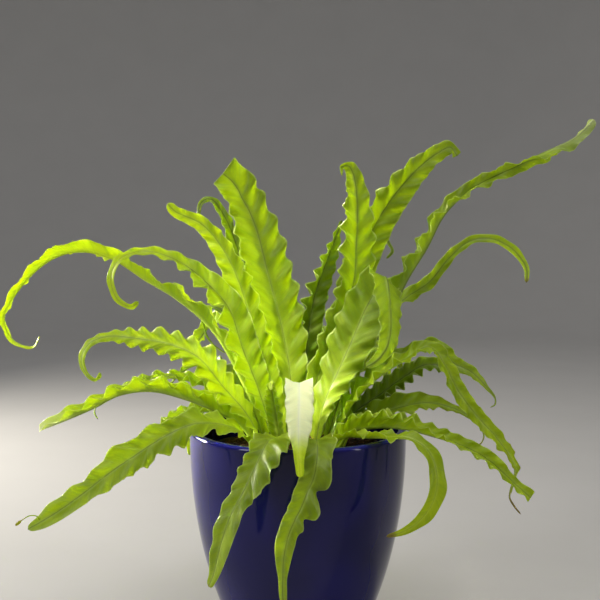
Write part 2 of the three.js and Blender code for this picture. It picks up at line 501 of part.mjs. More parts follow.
// Where the blade is measured: both ends of the stalk, then each crest and trough.
function waveStations(frond, frames, draw) {
  const stalk = STALK_LENGTH / frames.length;
  const foot = [flatStation(frond, 0), flatStation(frond, stalk)];
  if (frond.margins) {
    const rows = frond.margins.filter((row) => row[0] > stalk * STALK_ROOM);
    return foot.concat(rows.map(([t, leftReach, leftWave, rightReach, rightWave]) => ({
      t, left: { reach: leftReach, wave: leftWave }, right: { reach: rightReach, wave: rightWave },
    })));
  }
  const steps = [];
  for (let k = 0; k < 2 * frond.waves; k += 1) {
    const spread = 1 + (frond.stretch - 1) * (k / (2 * frond.waves - 1));
    steps.push((STEP_LEAST + STEP_SPREAD * draw()) * spread);
  }
  const total = steps.reduce((sum, step) => sum + step, 0);
  let reached = 0;
  const waves = steps.map((step, k) => {
    reached += step;
    const sign = k % 2 === 0 ? 1 : -1;
    const t = stalk + (1 - stalk) * (reached / total);
    const half = along(frond.width, t) / 2;
    const height = sign * along(frond.ruffle, t) * half;
    return {
      t,
      left: { reach: half, wave: height * (WAVE_LEAST + WAVE_SPREAD * draw()) },
      right: { reach: half, wave: height * (WAVE_LEAST + WAVE_SPREAD * draw()) },
    };
  });
  return foot.concat(waves);
}

// The six corners of the blade's section, with room added all round for a socket:
// left margin, midrib and right margin on the upper face, then the same below.
function sectionCorners(frond, blade, station, room) {
  const corners = [];
  const ribRoom = blade.rib / 2 + room;
  const marginRoom = MARGIN_THICKNESS / 2 + room;
  for (const face of [1, -1]) {
    for (const hand of [1, 0, -1]) {
      if (hand === 0) {
        corners.push(blade.point.clone().addScaledVector(blade.normal, face * ribRoom));
      } else {
        const fold = (hand > 0 ? frond.fold[0] : frond.fold[1]) * DEGREE;
        const { reach, wave } = hand > 0 ? station.left : station.right;
        const lift = fold * Math.min(1, reach / FULL_FOLD_HALF);
        const outward = blade.side.clone().multiplyScalar(hand * Math.cos(lift))
          .addScaledVector(blade.normal, Math.sin(lift));
        const across = blade.normal.clone().multiplyScalar(Math.cos(lift))
          .addScaledVector(blade.side, -hand * Math.sin(lift));
        corners.push(blade.point.clone()
          .addScaledVector(outward, reach + room)
          .addScaledVector(across, wave + face * marginRoom)
          .addScaledVector(blade.tangent, FORWARD_LEAN * (reach - STALK_HALF)));
      }
    }
  }
  return corners;
}

// A closed mesh through a row of six-cornered sections, split alike on both faces.
function skinSections(sections) {
  const ring = [0, 1, 2, 5, 4, 3];
  const positions = sections.flat().flatMap((p) => [p.x, p.y, p.z]);
  const faces = [];
  for (let k = 0; k < sections.length - 1; k += 1) {
    const here = k * 6;
    const next = here + 6;
    ring.forEach((corner, i) => {
      const following = ring[(i + 1) % 6];
      const lower = i === 3 || i === 4;
      const a = here + corner;
      const b = here + following;
      const c = next + corner;
      const d = next + following;
      if (lower) faces.push(a, b, d, a, d, c);
      else faces.push(a, b, c, b, d, c);
    });
  }
  const last = (sections.length - 1) * 6;
  faces.push(0, 3, 1, 1, 3, 4, 1, 4, 2, 2, 4, 5);
  faces.push(last, last + 1, last + 3, last + 1, last + 4, last + 3);
  faces.push(last + 1, last + 2, last + 4, last + 2, last + 5, last + 4);
  const geometry = new THREE.BufferGeometry();
  geometry.setAttribute('position', new THREE.Float32BufferAttribute(positions, 3));
  geometry.setIndex(faces);
  return geometry;
}

function frondGeometry(frond, seed) {
  const frames = carryFrames(frond);
  const stations = waveStations(frond, frames, makeDraw(seed));
  const sections = stations.map((station) => (
    sectionCorners(frond, bladeAt(frond, frames, station.t), station, 0)));
  return skinSections(sections);
}

// The plain hole that a frond's stalk stands in: its own section with a gap round it.
function socketGeometry(frond) {
  const frames = carryFrames(frond);
  const sections = [0, STALK_LENGTH / frames.length].map((t) => {
    const blade = bladeAt(frond, frames, t);
    if (t === 0) blade.point.addScaledVector(blade.tangent, -SOCKET_GAP);
    return sectionCorners(frond, blade, flatStation(frond, t), SOCKET_GAP);
  });
  return skinSections(sections);
}

const wasm = await Module();
wasm.setup();

function toSolid(geometry) {
  const bare = geometry.clone();
  bare.deleteAttribute('normal');
  bare.deleteAttribute('uv');
  const merged = mergeVertices(bare, SAME_CORNER);
  return new wasm.Manifold(new wasm.Mesh({
    numProp: 3,
    vertProperties: new Float32Array(merged.attributes.position.array),
    triVerts: new Uint32Array(merged.index.array),
  }));
}

function toGeometry(solid) {
  const mesh = solid.getMesh();
  const geometry = new THREE.BufferGeometry();
  geometry.setAttribute('position', new THREE.Float32BufferAttribute(mesh.vertProperties, 3));
  geometry.setIndex(Array.from(mesh.triVerts));
  return geometry;
}

// The pot's outer wall swells from the foot and stands almost upright at the lip.
function potRadius(height) {
  const share = Math.min(height / (POT_HEIGHT * UPRIGHT_FROM), 1);
  return BASE_RADIUS + (RIM_RADIUS - BASE_RADIUS) * Math.sin((share ** WALL_SWELL) * Math.PI / 2);
}

function turned(points, facets) {
  const geometry = new THREE.LatheGeometry(points.map(([r, z]) => new THREE.Vector2(r, z)), facets);
  return geometry.rotateX(Math.PI / 2);
}

function wallHeights(from, to, count) {
  return Array.from({ length: count + 1 }, (_, i) => from + (to - from) * (i / count));
}

function potGeometry() {
  const outer = wallHeights(0, POT_HEIGHT - LIP_ROUND, OUTER_STEPS).map((z) => [potRadius(z), z]);
  const lip = [
    [RIM_RADIUS - LIP_CUT, POT_HEIGHT - LIP_CUT],
    [RIM_RADIUS - LIP_ROUND, POT_HEIGHT],
    [RIM_RADIUS - LIP_WIDTH + LIP_ROUND, POT_HEIGHT],
    [RIM_RADIUS - LIP_WIDTH, POT_HEIGHT - LIP_ROUND],
  ];
  const inner = wallHeights(POT_HEIGHT - LIP_DEPTH, FLOOR_THICKNESS, INNER_STEPS)
    .map((z) => [potRadius(z) - LIP_WIDTH, z]);
  return turned([[0, 0], ...outer, ...lip, ...inner, [0, FLOOR_THICKNESS]], POT_FACETS);
}

function pottingMixGeometry() {
  const wall = wallHeights(FLOOR_THICKNESS + MIX_CLEARANCE, MIX_TOP, INNER_STEPS)
    .map((z) => [potRadius(z) - LIP_WIDTH - MIX_WALL_GAP, z]);
  const socket = CROWN_RADIUS + MIX_CLEARANCE;
  const bed = MIX_TOP - CROWN_DEPTH - MIX_CLEARANCE;
  return turned([
    [0, FLOOR_THICKNESS + MIX_CLEARANCE], ...wall,
    [socket, MIX_TOP], [socket, bed], [0, bed],
  ], POT_FACETS);
}

function crownGeometry() {
  const foot = MIX_TOP - CROWN_DEPTH;
  const dome = DOME_ANGLES.map((angle) => [
    CROWN_RADIUS * Math.cos(angle * DEGREE), MIX_TOP + CROWN_RISE * Math.sin(angle * DEGREE)]);
  const stock = turned([
    [0, foot], [CROWN_RADIUS, foot], ...dome, [0, MIX_TOP + CROWN_RISE],
  ], CROWN_FACETS);
  const solid = FRONDS.reduce((body, frond) => (
    body.subtract(toSolid(socketGeometry(frond)))), toSolid(stock));
  return toGeometry(solid);
}

function addPiece(group, name, geometry, finish) {
  const mesh = new THREE.Mesh(geometry, new THREE.MeshStandardMaterial(finish));
  mesh.name = name;
  group.add(mesh);
}

const group = new THREE.Group();
addPiece(group, 'pot', potGeometry(), { color: 0x1d1a6e, roughness: 0.12, metalness: 0 });
addPiece(group, 'potting_mix', pottingMixGeometry(), { color: 0x2a1d14, roughness: 0.95, metalness: 0 });
addPiece(group, 'crown', crownGeometry(), { color: 0x4a3220, roughness: 0.9, metalness: 0 });
FRONDS.forEach((frond, i) => {
  addPiece(group, frond.name, frondGeometry(frond, i + 1), {
    color: GREENS[frond.green], roughness: 0.4, metalness: 0,
  });
});

export default group;
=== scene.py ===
"""A potted bird's-nest fern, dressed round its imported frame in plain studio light.

Each frond of the frame is measured section by section and skinned again as a thin,
ruffled blade. The pot, the potting mix and the crown get finer forms of the same
shape. Everything is in metres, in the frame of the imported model.
"""

import json
import logging
import math
from collections.abc import Callable
from dataclasses import dataclass, field
from enum import Enum
from functools import partial

import bmesh
import bpy
import numpy as np
from mathutils import Vector, noise
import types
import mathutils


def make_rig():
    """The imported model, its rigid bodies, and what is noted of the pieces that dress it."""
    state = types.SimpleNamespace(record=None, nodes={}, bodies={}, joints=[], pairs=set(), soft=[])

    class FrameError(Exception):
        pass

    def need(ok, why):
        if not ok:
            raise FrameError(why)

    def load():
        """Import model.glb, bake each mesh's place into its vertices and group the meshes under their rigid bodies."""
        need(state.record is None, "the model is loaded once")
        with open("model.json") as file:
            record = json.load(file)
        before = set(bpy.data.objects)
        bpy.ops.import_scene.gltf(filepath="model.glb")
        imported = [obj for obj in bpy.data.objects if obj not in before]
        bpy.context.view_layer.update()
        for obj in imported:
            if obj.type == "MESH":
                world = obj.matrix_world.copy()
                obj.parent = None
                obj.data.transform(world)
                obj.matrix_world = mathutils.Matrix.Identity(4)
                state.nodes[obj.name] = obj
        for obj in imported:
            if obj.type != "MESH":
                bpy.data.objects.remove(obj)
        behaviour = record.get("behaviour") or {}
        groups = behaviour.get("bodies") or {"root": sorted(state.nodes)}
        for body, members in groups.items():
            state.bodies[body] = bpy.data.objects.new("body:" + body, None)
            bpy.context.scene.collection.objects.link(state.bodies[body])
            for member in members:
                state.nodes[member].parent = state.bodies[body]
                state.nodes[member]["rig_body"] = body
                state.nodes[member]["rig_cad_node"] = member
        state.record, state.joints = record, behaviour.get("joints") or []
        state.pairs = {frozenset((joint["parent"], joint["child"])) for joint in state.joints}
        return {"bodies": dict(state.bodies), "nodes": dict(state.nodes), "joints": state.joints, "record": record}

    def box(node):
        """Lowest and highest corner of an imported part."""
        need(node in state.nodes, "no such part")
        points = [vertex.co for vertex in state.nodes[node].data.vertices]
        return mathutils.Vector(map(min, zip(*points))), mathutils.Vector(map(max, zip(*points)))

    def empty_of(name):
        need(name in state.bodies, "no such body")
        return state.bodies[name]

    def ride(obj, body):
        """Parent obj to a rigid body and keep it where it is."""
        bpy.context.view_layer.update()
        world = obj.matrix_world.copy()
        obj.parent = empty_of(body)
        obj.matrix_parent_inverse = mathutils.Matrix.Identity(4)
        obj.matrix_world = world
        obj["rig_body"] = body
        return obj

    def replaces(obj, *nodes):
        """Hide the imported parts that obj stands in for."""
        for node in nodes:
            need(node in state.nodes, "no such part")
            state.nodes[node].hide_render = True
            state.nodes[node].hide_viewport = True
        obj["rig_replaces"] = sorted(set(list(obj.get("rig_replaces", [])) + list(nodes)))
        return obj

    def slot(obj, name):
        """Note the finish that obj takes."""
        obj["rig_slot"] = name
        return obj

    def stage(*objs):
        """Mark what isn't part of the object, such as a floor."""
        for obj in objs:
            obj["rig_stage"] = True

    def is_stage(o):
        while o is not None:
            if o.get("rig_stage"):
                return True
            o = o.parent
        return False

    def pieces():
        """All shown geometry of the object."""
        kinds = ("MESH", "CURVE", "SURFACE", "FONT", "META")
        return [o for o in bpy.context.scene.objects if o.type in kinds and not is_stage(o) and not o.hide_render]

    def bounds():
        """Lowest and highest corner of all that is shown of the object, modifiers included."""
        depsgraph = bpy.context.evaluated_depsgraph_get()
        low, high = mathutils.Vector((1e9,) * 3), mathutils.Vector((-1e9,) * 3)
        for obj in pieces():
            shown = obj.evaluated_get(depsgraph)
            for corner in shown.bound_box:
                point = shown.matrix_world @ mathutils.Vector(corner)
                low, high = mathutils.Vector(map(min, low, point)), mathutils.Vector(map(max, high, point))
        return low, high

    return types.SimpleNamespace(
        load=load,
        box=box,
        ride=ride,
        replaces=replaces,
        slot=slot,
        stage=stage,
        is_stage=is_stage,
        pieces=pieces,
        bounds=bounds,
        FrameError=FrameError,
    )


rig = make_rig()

log = logging.getLogger("potted_fern")

MM = 0.001
BODY = "root"
SIZE_FILE = "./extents.json"

# Sockets of the colour mixing node, which has one set of sockets for each kind of data.
FACTOR = 0
FIRST = 6
SECOND = 7
MIXED = 2


class AgeingAndLight(Enum):
    """What marks a stretch of a frond, by its channel in the layer of age and painted light."""

    DRIED = 0
    YELLOWING_AND_GLOW = 1
    BLEACH_AND_SHEEN = 2


def linear(code: str) -> tuple[float, float, float, float]:
    """Turns an sRGB colour to linear light.

    Args:
        code: six hex digits, such as "a9d032".

    Returns:
        Red, green, blue and an alpha of 1.
    """
    shares = [int(code[i:i + 2], 16) / 255 for i in (0, 2, 4)]
    light = [c / 12.92 if c <= 0.04045 else ((c + 0.055) / 1.055) ** 2.4 for c in shares]
    return (*light, 1.0)


def add_node(
    tree: bpy.types.NodeTree,
    kind: str,
    inputs: dict[int | str, object] | None = None,
    **settings: object,
) -> bpy.types.bpy_prop_collection:
    """Adds a shader node with its settings and links.

    Args:
        tree: the material's node tree.
        kind: the node's type name.
        inputs: for each socket, the constant it holds or the output that feeds it.
        **settings: the node's own properties.

    Returns:
        The new node's outputs.
    """
    node = tree.nodes.new(kind)
    for name, value in settings.items():
        setattr(node, name, value)
    for key, value in (inputs or {}).items():
        if isinstance(value, bpy.types.NodeSocket):
            tree.links.new(value, node.inputs[key])
        else:
            node.inputs[key].default_value = value
    return node.outputs


def new_material(name: str) -> tuple[
        bpy.types.Material, Callable[..., bpy.types.bpy_prop_collection]]:
    """Starts a material.

    Args:
        name: the material's name.

    Returns:
        The material, and add_node for its empty node tree.
    """
    material = bpy.data.materials.new(name)
    material.use_nodes = True
    material.node_tree.nodes.clear()
    return material, partial(add_node, material.node_tree)


def make_piece(
    name: str,
    places: np.ndarray,
    quads: np.ndarray,
    triangles: np.ndarray | None = None,
    maps: dict[str, np.ndarray] | None = None,
    layers: dict[str, np.ndarray] | None = None,
) -> bpy.types.Object:
    """Makes a smooth mesh object from arrays.

    Args:
        name: the object's name.
        places: one row of x, y and z for each corner.
        quads: rows of four corner numbers.
        triangles: rows of three corner numbers.
        maps: for each UV map, one row of u and v for each corner.
        layers: for each colour layer, one row of three shares for each corner.

    Returns:
        The object, linked to the scene.
    """
    triangles = np.empty((0, 3), int) if triangles is None else triangles
    corners = np.concatenate([np.ravel(quads), np.ravel(triangles)]).astype(np.int32)
    starts = np.concatenate([
        np.arange(len(quads)) * 4,
        len(quads) * 4 + np.arange(len(triangles)) * 3,
    ]).astype(np.int32)
    mesh = bpy.data.meshes.new(name)
    mesh.vertices.add(len(places))
    mesh.vertices.foreach_set("co", np.ravel(places).astype(np.float32))
    mesh.loops.add(len(corners))
    mesh.loops.foreach_set("vertex_index", corners)
    mesh.polygons.add(len(starts))
    mesh.polygons.foreach_set("loop_start", starts)
    mesh.update(calc_edges=True)
    mesh.polygons.foreach_set("use_smooth", np.ones(len(starts), bool))
    for label, values in (maps or {}).items():
        uv = mesh.uv_layers.new(name=label)
        uv.data.foreach_set("uv", np.ravel(values[corners]).astype(np.float32))
    for label, values in (layers or {}).items():
        layer = mesh.color_attributes.new(name=label, type="FLOAT_COLOR", domain="POINT")
        full = np.concatenate([values, np.ones((len(values), 1))], axis=1)
        layer.data.foreach_set("color", np.ravel(full).astype(np.float32))
    piece = bpy.data.objects.new(name, mesh)
    bpy.context.scene.collection.objects.link(piece)
    return piece


def settle(piece: bpy.types.Object, material: bpy.types.Material, slot: str, *nodes: str) -> None:
    """Dresses a piece, lets it ride on the body and names what it stands for.

    Args:
        piece: the new object.
        material: its finish.
        slot: the record's material slot.
        *nodes: the CAD nodes that it replaces.
    """
    piece.data.materials.append(material)
    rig.ride(piece, BODY)
    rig.slot(piece, slot)
    if nodes:
        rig.replaces(piece, *nodes)
    log.info("%s: %d faces", piece.name, len(piece.data.polygons))


def ring_quads(rows: int, ring: int) -> np.ndarray:
    """Lists the faces of a tube.

    Args:
        rows: how many rings of corners lie one after another.
        ring: how many corners a ring has.

    Returns:
        Rows of four corner numbers.
    """
    row = np.arange(rows - 1)[:, None] * ring
    here = np.arange(ring)[None, :]
    following = (here + 1) % ring
    faces = np.stack([row + here, row + following, row + ring + following, row + ring + here], -1)
    return faces.reshape(-1, 4)


def around(facets: int) -> np.ndarray:
    """Gives the even angles of a ring's corners, in radians."""
    return np.arange(facets) * 2 * np.pi / facets


def fan(middle: int, first: int, facets: int) -> np.ndarray:
    """Lists the triangles from a middle corner to a ring that starts at the first one."""
    here = np.arange(facets)
    return np.stack([np.full(facets, middle), first + here, first + (here + 1) % facets], -1)


def make_turned(name: str, rings: np.ndarray, foot: float, top: float) -> bpy.types.Object:
    """Makes a closed piece from rings of corners round the upright axis.

    Args:
        name: the object's name.
        rings: an array of rings by corners by x, y and z.
        foot: the height on the axis where a fan closes the first ring.
        top: the height on the axis where a fan closes the last ring.

    Returns:
        The object.
    """
    rows, facets = rings.shape[:2]
    count = rows * facets
    under = fan(count, 0, facets)[:, [0, 2, 1]]
    over = fan(count + 1, count - facets, facets)
    places = np.concatenate([rings.reshape(-1, 3), [[0, 0, foot], [0, 0, top]]])
    return make_piece(name, places, ring_quads(rows, facets), np.concatenate([under, over]))


def unit(vectors: np.ndarray) -> np.ndarray:
    """Scales vectors to length 1."""
    return vectors / np.maximum(np.linalg.norm(vectors, axis=-1, keepdims=True), 1e-12)


def smooth_curve(knots: np.ndarray, values: np.ndarray, places: np.ndarray) -> np.ndarray:
    """Draws a smooth curve through values that stand at uneven places.

    Args:
        knots: where the values stand, rising.
        values: one row for each knot.
        places: where the curve is wanted.

    Returns:
        One row for each place.
    """
    step = np.diff(knots)[:, None]
    chord = np.diff(values, axis=0) / step
    slope = np.empty_like(values)
    slope[1:-1] = (chord[:-1] * step[1:] + chord[1:] * step[:-1]) / (step[1:] + step[:-1])
    slope[0], slope[-1] = chord[0], chord[-1]
    i = np.clip(np.searchsorted(knots, places, side="right") - 1, 0, len(step) - 1)
    f = ((places - knots[i]) / step[i, 0])[:, None]
    leave, arrive = slope[i] * step[i], slope[i + 1] * step[i]
    rise = values[i + 1] - values[i]
    return values[i] + f * (leave + f * (3 * rise - 2 * leave - arrive
                                         + f * (leave + arrive - 2 * rise)))


def swell(knots: np.ndarray, heights: np.ndarray, places: np.ndarray) -> np.ndarray:
    """Draws a wave whose crests and troughs stand at the knots.

    Args:
        knots: where the crests and troughs stand, rising.
        heights: the wave's height at each knot.
        places: where the wave is wanted, in an array of any shape.

    Returns:
        The wave's height at each place.
    """
    i = np.clip(np.searchsorted(knots, places, side="right") - 1, 0, len(knots) - 2)
    f = np.clip((places - knots[i]) / (knots[i + 1] - knots[i]), 0, 1)
    return heights[i] + (heights[i + 1] - heights[i]) * (1 - np.cos(np.pi * f)) / 2


def ramp(values: np.ndarray, zero: float, one: float) -> np.ndarray:
    """Goes softly from 0 at one value to 1 at another, which may lie above or below it."""
    share = np.clip((values - zero) / (one - zero), 0, 1)
    return share * share * (3 - 2 * share)


@dataclass(frozen=True)
class LivingFrond:
    """Fern frond, grown: a waxy green skin over thin flesh that glows when lit from behind.

    The wax gives the eye a soft whitish gloss on every ruffle. The midrib carries a fine dark
    line of painted shade, as of a furrow, between paler banks, and slanted veins show darker
    against the light. The margin carries a pale painted highlight, and near the crown the
    green is painted paler and yellower as painted light on the plant's heart. A chalky pale
    stretch, partly painted sheen, lets less light through.
    """

    name: str
    light: str
    dark: str
    vein: str
    rib: str
    # The foot colour is painted light: a paler, yellower green where the plant's heart is lit.
    foot: str
    glow: str
    roughness: float = 0.38
    see_through: float = 0.6
    dried: str = "8a6236"
    # Partly painted glow, where light shines through a frond, and partly yellowing.
    yellowing_and_glow: str = "e0f428"
    # Partly a painted highlight: a whitish sheen where strong light falls, and partly bleaching.
    bleach_and_sheen: str = "fbfcd2"
    # A pale painted highlight along the blade's edge.
    margin_highlight: str = "dbe88a"

    # Veins leave the midrib at 58 degrees and lie about a millimetre apart. They are drawn
    # at 1.5 mm, because finer ones don't show at the photograph's distance.
    vein_angle: float = math.radians(58)
    vein_spacing: float = 1.5 * MM
    vein_run: float = 16 * MM
    patch_size: float = 14 * MM
    cell_size: float = 0.6 * MM

    # The painted furrow shade and its banks fade out at these distances from the middle. The
    # painted margin highlight starts at a share of the half width, and the pale foot of painted
    # light ends at a share of the length.
    groove_shade_fade: tuple[float, float] = (0.2 * MM, 0.8 * MM)
    bank_fade: tuple[float, float] = (0.8 * MM, 2.4 * MM)
    margin_highlight_start: tuple[float, float] = (0.9, 0.97)
    lit_foot_end: tuple[float, float] = (0.08, 0.42)

    def material(self) -> bpy.types.Material:
        """Makes the finish from the blade's two maps and its layer of age and painted light."""
        material, add = new_material(self.name)
        across = (math.sin(self.vein_angle), -math.cos(self.vein_angle), 0)
        lengthwise = (math.cos(self.vein_angle), math.sin(self.vein_angle), 0)

        measure = add("ShaderNodeUVMap", uv_map="measure")
        folded = add("ShaderNodeVectorMath", {0: measure[0]}, operation="ABSOLUTE")
        _, off_middle, _ = add("ShaderNodeSeparateXYZ", {0: folded[0]})
        share = add("ShaderNodeUVMap", uv_map="share")
        along, out, _ = add("ShaderNodeSeparateXYZ", {0: share[0]})
        ageing_and_light = add("ShaderNodeVertexColor", layer_name="ageing_and_light")
        aged_and_lit = add("ShaderNodeSeparateColor", {0: ageing_and_light[0]})

        side, run = [
            add("ShaderNodeVectorMath", {0: folded[0], 1: heading}, operation="DOT_PRODUCT")[1]
            for heading in (across, lengthwise)]
        laid = add("ShaderNodeCombineXYZ", {0: side, 1: run})
        slanted = add("ShaderNodeVectorMath", {
            0: laid[0], 1: (1 / self.vein_spacing, 1 / self.vein_run, 1),
        }, operation="MULTIPLY")
        veins, patches, cells = [
            add("ShaderNodeTexNoise", {
                "Vector": place[0], "Scale": scale, "Detail": detail, "Roughness": roughness,
            }, noise_dimensions="2D")[0]
            for place, scale, detail, roughness in (
                (slanted, 1.0, 2.0, 0.5),
                (measure, 1 / self.patch_size, 4.0, 0.6),
                (measure, 1 / self.cell_size, 2.0, 0.5),
            )]
        groove_shade, bank, margin_highlight, foot, vein, patch = [
            add("ShaderNodeMapRange", {
                0: value, 1: low, 2: high, 3: at_low, 4: at_high,
            }, interpolation_type="SMOOTHSTEP")[0]
            for value, (low, high), at_low, at_high in (
                (off_middle, self.groove_shade_fade, 0.6, 0.0),
                (off_middle, self.bank_fade, 1.0, 0.0),
                (out, self.margin_highlight_start, 0.0, 1.0),
                (along, self.lit_foot_end, 1.0, 0.0),
                (veins, (0.5, 0.72), 0.0, 1.0),
                (patches, (0.35, 0.65), 0.0, 1.0),
            )]

        colour = add("ShaderNodeMix", {
            FACTOR: patch, FIRST: linear(self.dark), SECOND: linear(self.light),
        }, data_type="RGBA")[MIXED]
        # Among these marks, the foot is painted light, the dark furrow line a painted shade, the margin a painted
        # highlight, the yellow stretch partly painted glow and the pale one partly painted sheen.
        for mask, weight, code in (
            (vein, 0.3, self.vein),
            (foot, 0.8, self.foot),
            (bank, 0.4, self.vein),
            (groove_shade, 1.0, self.rib),
            (margin_highlight, 0.8, self.margin_highlight),
            (aged_and_lit[AgeingAndLight.YELLOWING_AND_GLOW.value], 1.0, self.yellowing_and_glow),
            (aged_and_lit[AgeingAndLight.BLEACH_AND_SHEEN.value], 1.0, self.bleach_and_sheen),
            (aged_and_lit[AgeingAndLight.DRIED.value], 1.0, self.dried),
        ):
            weighed = add("ShaderNodeMath", {0: mask, 1: weight}, operation="MULTIPLY")
            colour = add("ShaderNodeMix", {
                FACTOR: weighed[0], FIRST: colour, SECOND: linear(code),
            }, data_type="RGBA")[MIXED]
        # The painted furrow shade also darkens the light that passes through.
        through = linear(self.glow)
        for weight, tint, blend in (
            (0.15, colour, "MIX"),
            (vein, (0.8, 0.86, 0.7, 1.0), "MULTIPLY"),
            (groove_shade, linear(self.rib), "MIX"),
        ):
            through = add("ShaderNodeMix", {
                FACTOR: weight, FIRST: through, SECOND: tint,
            }, data_type="RGBA", blend_type=blend)[MIXED]

        quilt = add("ShaderNodeBump", {"Strength": 0.6, "Distance": 0.12 * MM, "Height": vein})
        grain = add("ShaderNodeBump", {
            "Strength": 0.35, "Distance": 0.03 * MM, "Height": cells, "Normal": quilt[0],
        })
        worn = add("ShaderNodeMapRange", {
            0: patches, 1: 0.3, 2: 0.7, 3: self.roughness - 0.05, 4: self.roughness + 0.07,
        })
        skin = add("ShaderNodeBsdfPrincipled", {
            "Base Color": colour, "Roughness": worn[0], "IOR": 1.45, "Normal": grain[0],
        })
        flesh = add("ShaderNodeBsdfTranslucent", {"Color": through, "Normal": grain[0]})
        thin = add("ShaderNodeMapRange", {
            0: bank, 1: 0.0, 2: 1.0, 3: self.see_through, 4: self.see_through * 0.55,
        })
        # Less light passes through the pale stretch of bleach and painted sheen.
        clear_of_bleach_and_sheen = add("ShaderNodeMapRange", {
            0: aged_and_lit[AgeingAndLight.BLEACH_AND_SHEEN.value], 1: 0.0, 2: 1.0, 3: 1.0, 4: 0.45,
        })
        passed = add("ShaderNodeMath", {0: thin[0], 1: clear_of_bleach_and_sheen[0]}, operation="MULTIPLY")
        both = add("ShaderNodeMixShader", {0: passed[0], 1: skin[0], 2: flesh[0]})
        add("ShaderNodeOutputMaterial", {0: both[0]})
        return material


@dataclass(frozen=True)
class CobaltGlaze:
    """Stoneware glaze, dipped and fired: a glassy deep cobalt that mirrors the lights.

    The glaze runs thin over the lip, where it turns a shade lighter, and this lighter lip is
    also a painted highlight. It pools a little on the wall, and its surface has the faint
    orange peel of a fired dip.
    """

    name: str = "cobalt_glaze_fired"
    deep: str = "08083c"
    bright: str = "120f5c"
    # The lip colour: thinner glaze, and a painted highlight.
    thin: str = "222280"
    thinned: float = 3 * MM
    pools: float = 60 * MM
    peel: float = 7 * MM

    def material(self, lip: float) -> bpy.types.Material:
        """Makes the glaze.

        Args:
            lip: the height of the lip, where the glaze runs thin.
        """
        material, add = new_material(self.name)
        place = add("ShaderNodeTexCoord")["Object"]
        height = add("ShaderNodeSeparateXYZ", {0: place})
        pooled = add("ShaderNodeTexNoise", {"Vector": place, "Scale": 1 / self.pools, "Detail": 1.0})
        depth = add("ShaderNodeMapRange", {0: pooled[0], 1: 0.25, 2: 0.75, 3: 0.0, 4: 1.0})
        colour = add("ShaderNodeMix", {
            FACTOR: depth[0], FIRST: linear(self.deep), SECOND: linear(self.bright),
        }, data_type="RGBA")[MIXED]
        # The lighter lip is thinner glaze and also a painted highlight.
        thin_lip_highlight = add("ShaderNodeMapRange", {
            0: height[2], 1: lip - self.thinned, 2: lip, 3: 0.0, 4: 0.75,
        }, interpolation_type="SMOOTHSTEP")
        colour = add("ShaderNodeMix", {
            FACTOR: thin_lip_highlight[0], FIRST: colour, SECOND: linear(self.thin),
        }, data_type="RGBA")[MIXED]
        peel = add("ShaderNodeTexNoise", {"Vector": place, "Scale": 1 / self.peel, "Detail": 1.0})
        skin = add("ShaderNodeBump", {"Strength": 0.1, "Distance": 0.15 * MM, "Height": peel[0]})
        gloss = add("ShaderNodeMapRange", {0: pooled[0], 1: 0.3, 2: 0.7, 3: 0.05, 4: 0.1})
        glaze = add("ShaderNodeBsdfPrincipled", {
            "Base Color": colour, "Roughness": gloss[0], "IOR": 1.38, "Normal": skin[0],
        })
        add("ShaderNodeOutputMaterial", {0: glaze[0]})
        return material


@dataclass(frozen=True)
class Biscuit:
    """Stoneware clay, fired and left bare where the pot stands: buff, dry and gritty."""

    name: str = "stoneware_biscuit_foot"
    clay: str = "b09a80"
    grit: str = "7d6a55"
    grit_size: float = 0.8 * MM

    def material(self) -> bpy.types.Material:
        """Makes the bare clay with its grit."""
        material, add = new_material(self.name)
        place = add("ShaderNodeTexCoord")["Object"]
        grit = add("ShaderNodeTexNoise", {"Vector": place, "Scale": 1 / self.grit_size, "Detail": 3.0})
        share = add("ShaderNodeMapRange", {0: grit[0], 1: 0.55, 2: 0.7, 3: 0.0, 4: 1.0})
        colour = add("ShaderNodeMix", {
            FACTOR: share[0], FIRST: linear(self.clay), SECOND: linear(self.grit),
        }, data_type="RGBA")[MIXED]
        rough = add("ShaderNodeBump", {"Strength": 0.5, "Distance": 0.15 * MM, "Height": grit[0]})
        clay = add("ShaderNodeBsdfPrincipled", {
            "Base Color": colour, "Roughness": 0.85, "IOR": 1.5, "Normal": rough[0],
        })
        add("ShaderNodeOutputMaterial", {0: clay[0]})
        return material


@dataclass(frozen=True)
class Fibrous:
    """Plant matter, broken or grown and never polished: matte, dark and uneven.

    It serves the peat, the bark chips in it and the fern's scaly crown, each with its
    own pair of browns and its own size of grain. Clumps are so many grains wide.
    """

    name: str
    dark: str
    light: str
    grain: float
    clump: float = 9.0

    def material(self) -> bpy.types.Material:
        """Makes the matter with its grain in colour and relief."""
        material, add = new_material(self.name)
        place = add("ShaderNodeTexCoord")["Object"]
        grain = add("ShaderNodeTexNoise", {
            "Vector": place, "Scale": 1 / self.grain, "Detail": 5.0, "Roughness": 0.65,
        })
        clump = add("ShaderNodeTexNoise", {
            "Vector": place, "Scale": 1 / (self.clump * self.grain), "Detail": 2.0,
        })
        both = add("ShaderNodeMath", {0: grain[0], 1: clump[0]}, operation="MULTIPLY")
        share = add("ShaderNodeMapRange", {
            0: both[0], 1: 0.16, 2: 0.36, 3: 0.0, 4: 1.0,
        }, interpolation_type="SMOOTHSTEP")
        colour = add("ShaderNodeMix", {
            FACTOR: share[0], FIRST: linear(self.dark), SECOND: linear(self.light),
        }, data_type="RGBA")[MIXED]
        relief = add("ShaderNodeBump", {
            "Strength": 0.7, "Distance": 0.25 * self.grain, "Height": grain[0],
        })
        matter = add("ShaderNodeBsdfPrincipled", {
            "Base Color": colour, "Roughness": 0.92, "IOR": 1.4, "Normal": relief[0],
        })
        add("ShaderNodeOutputMaterial", {0: matter[0]})
        return material


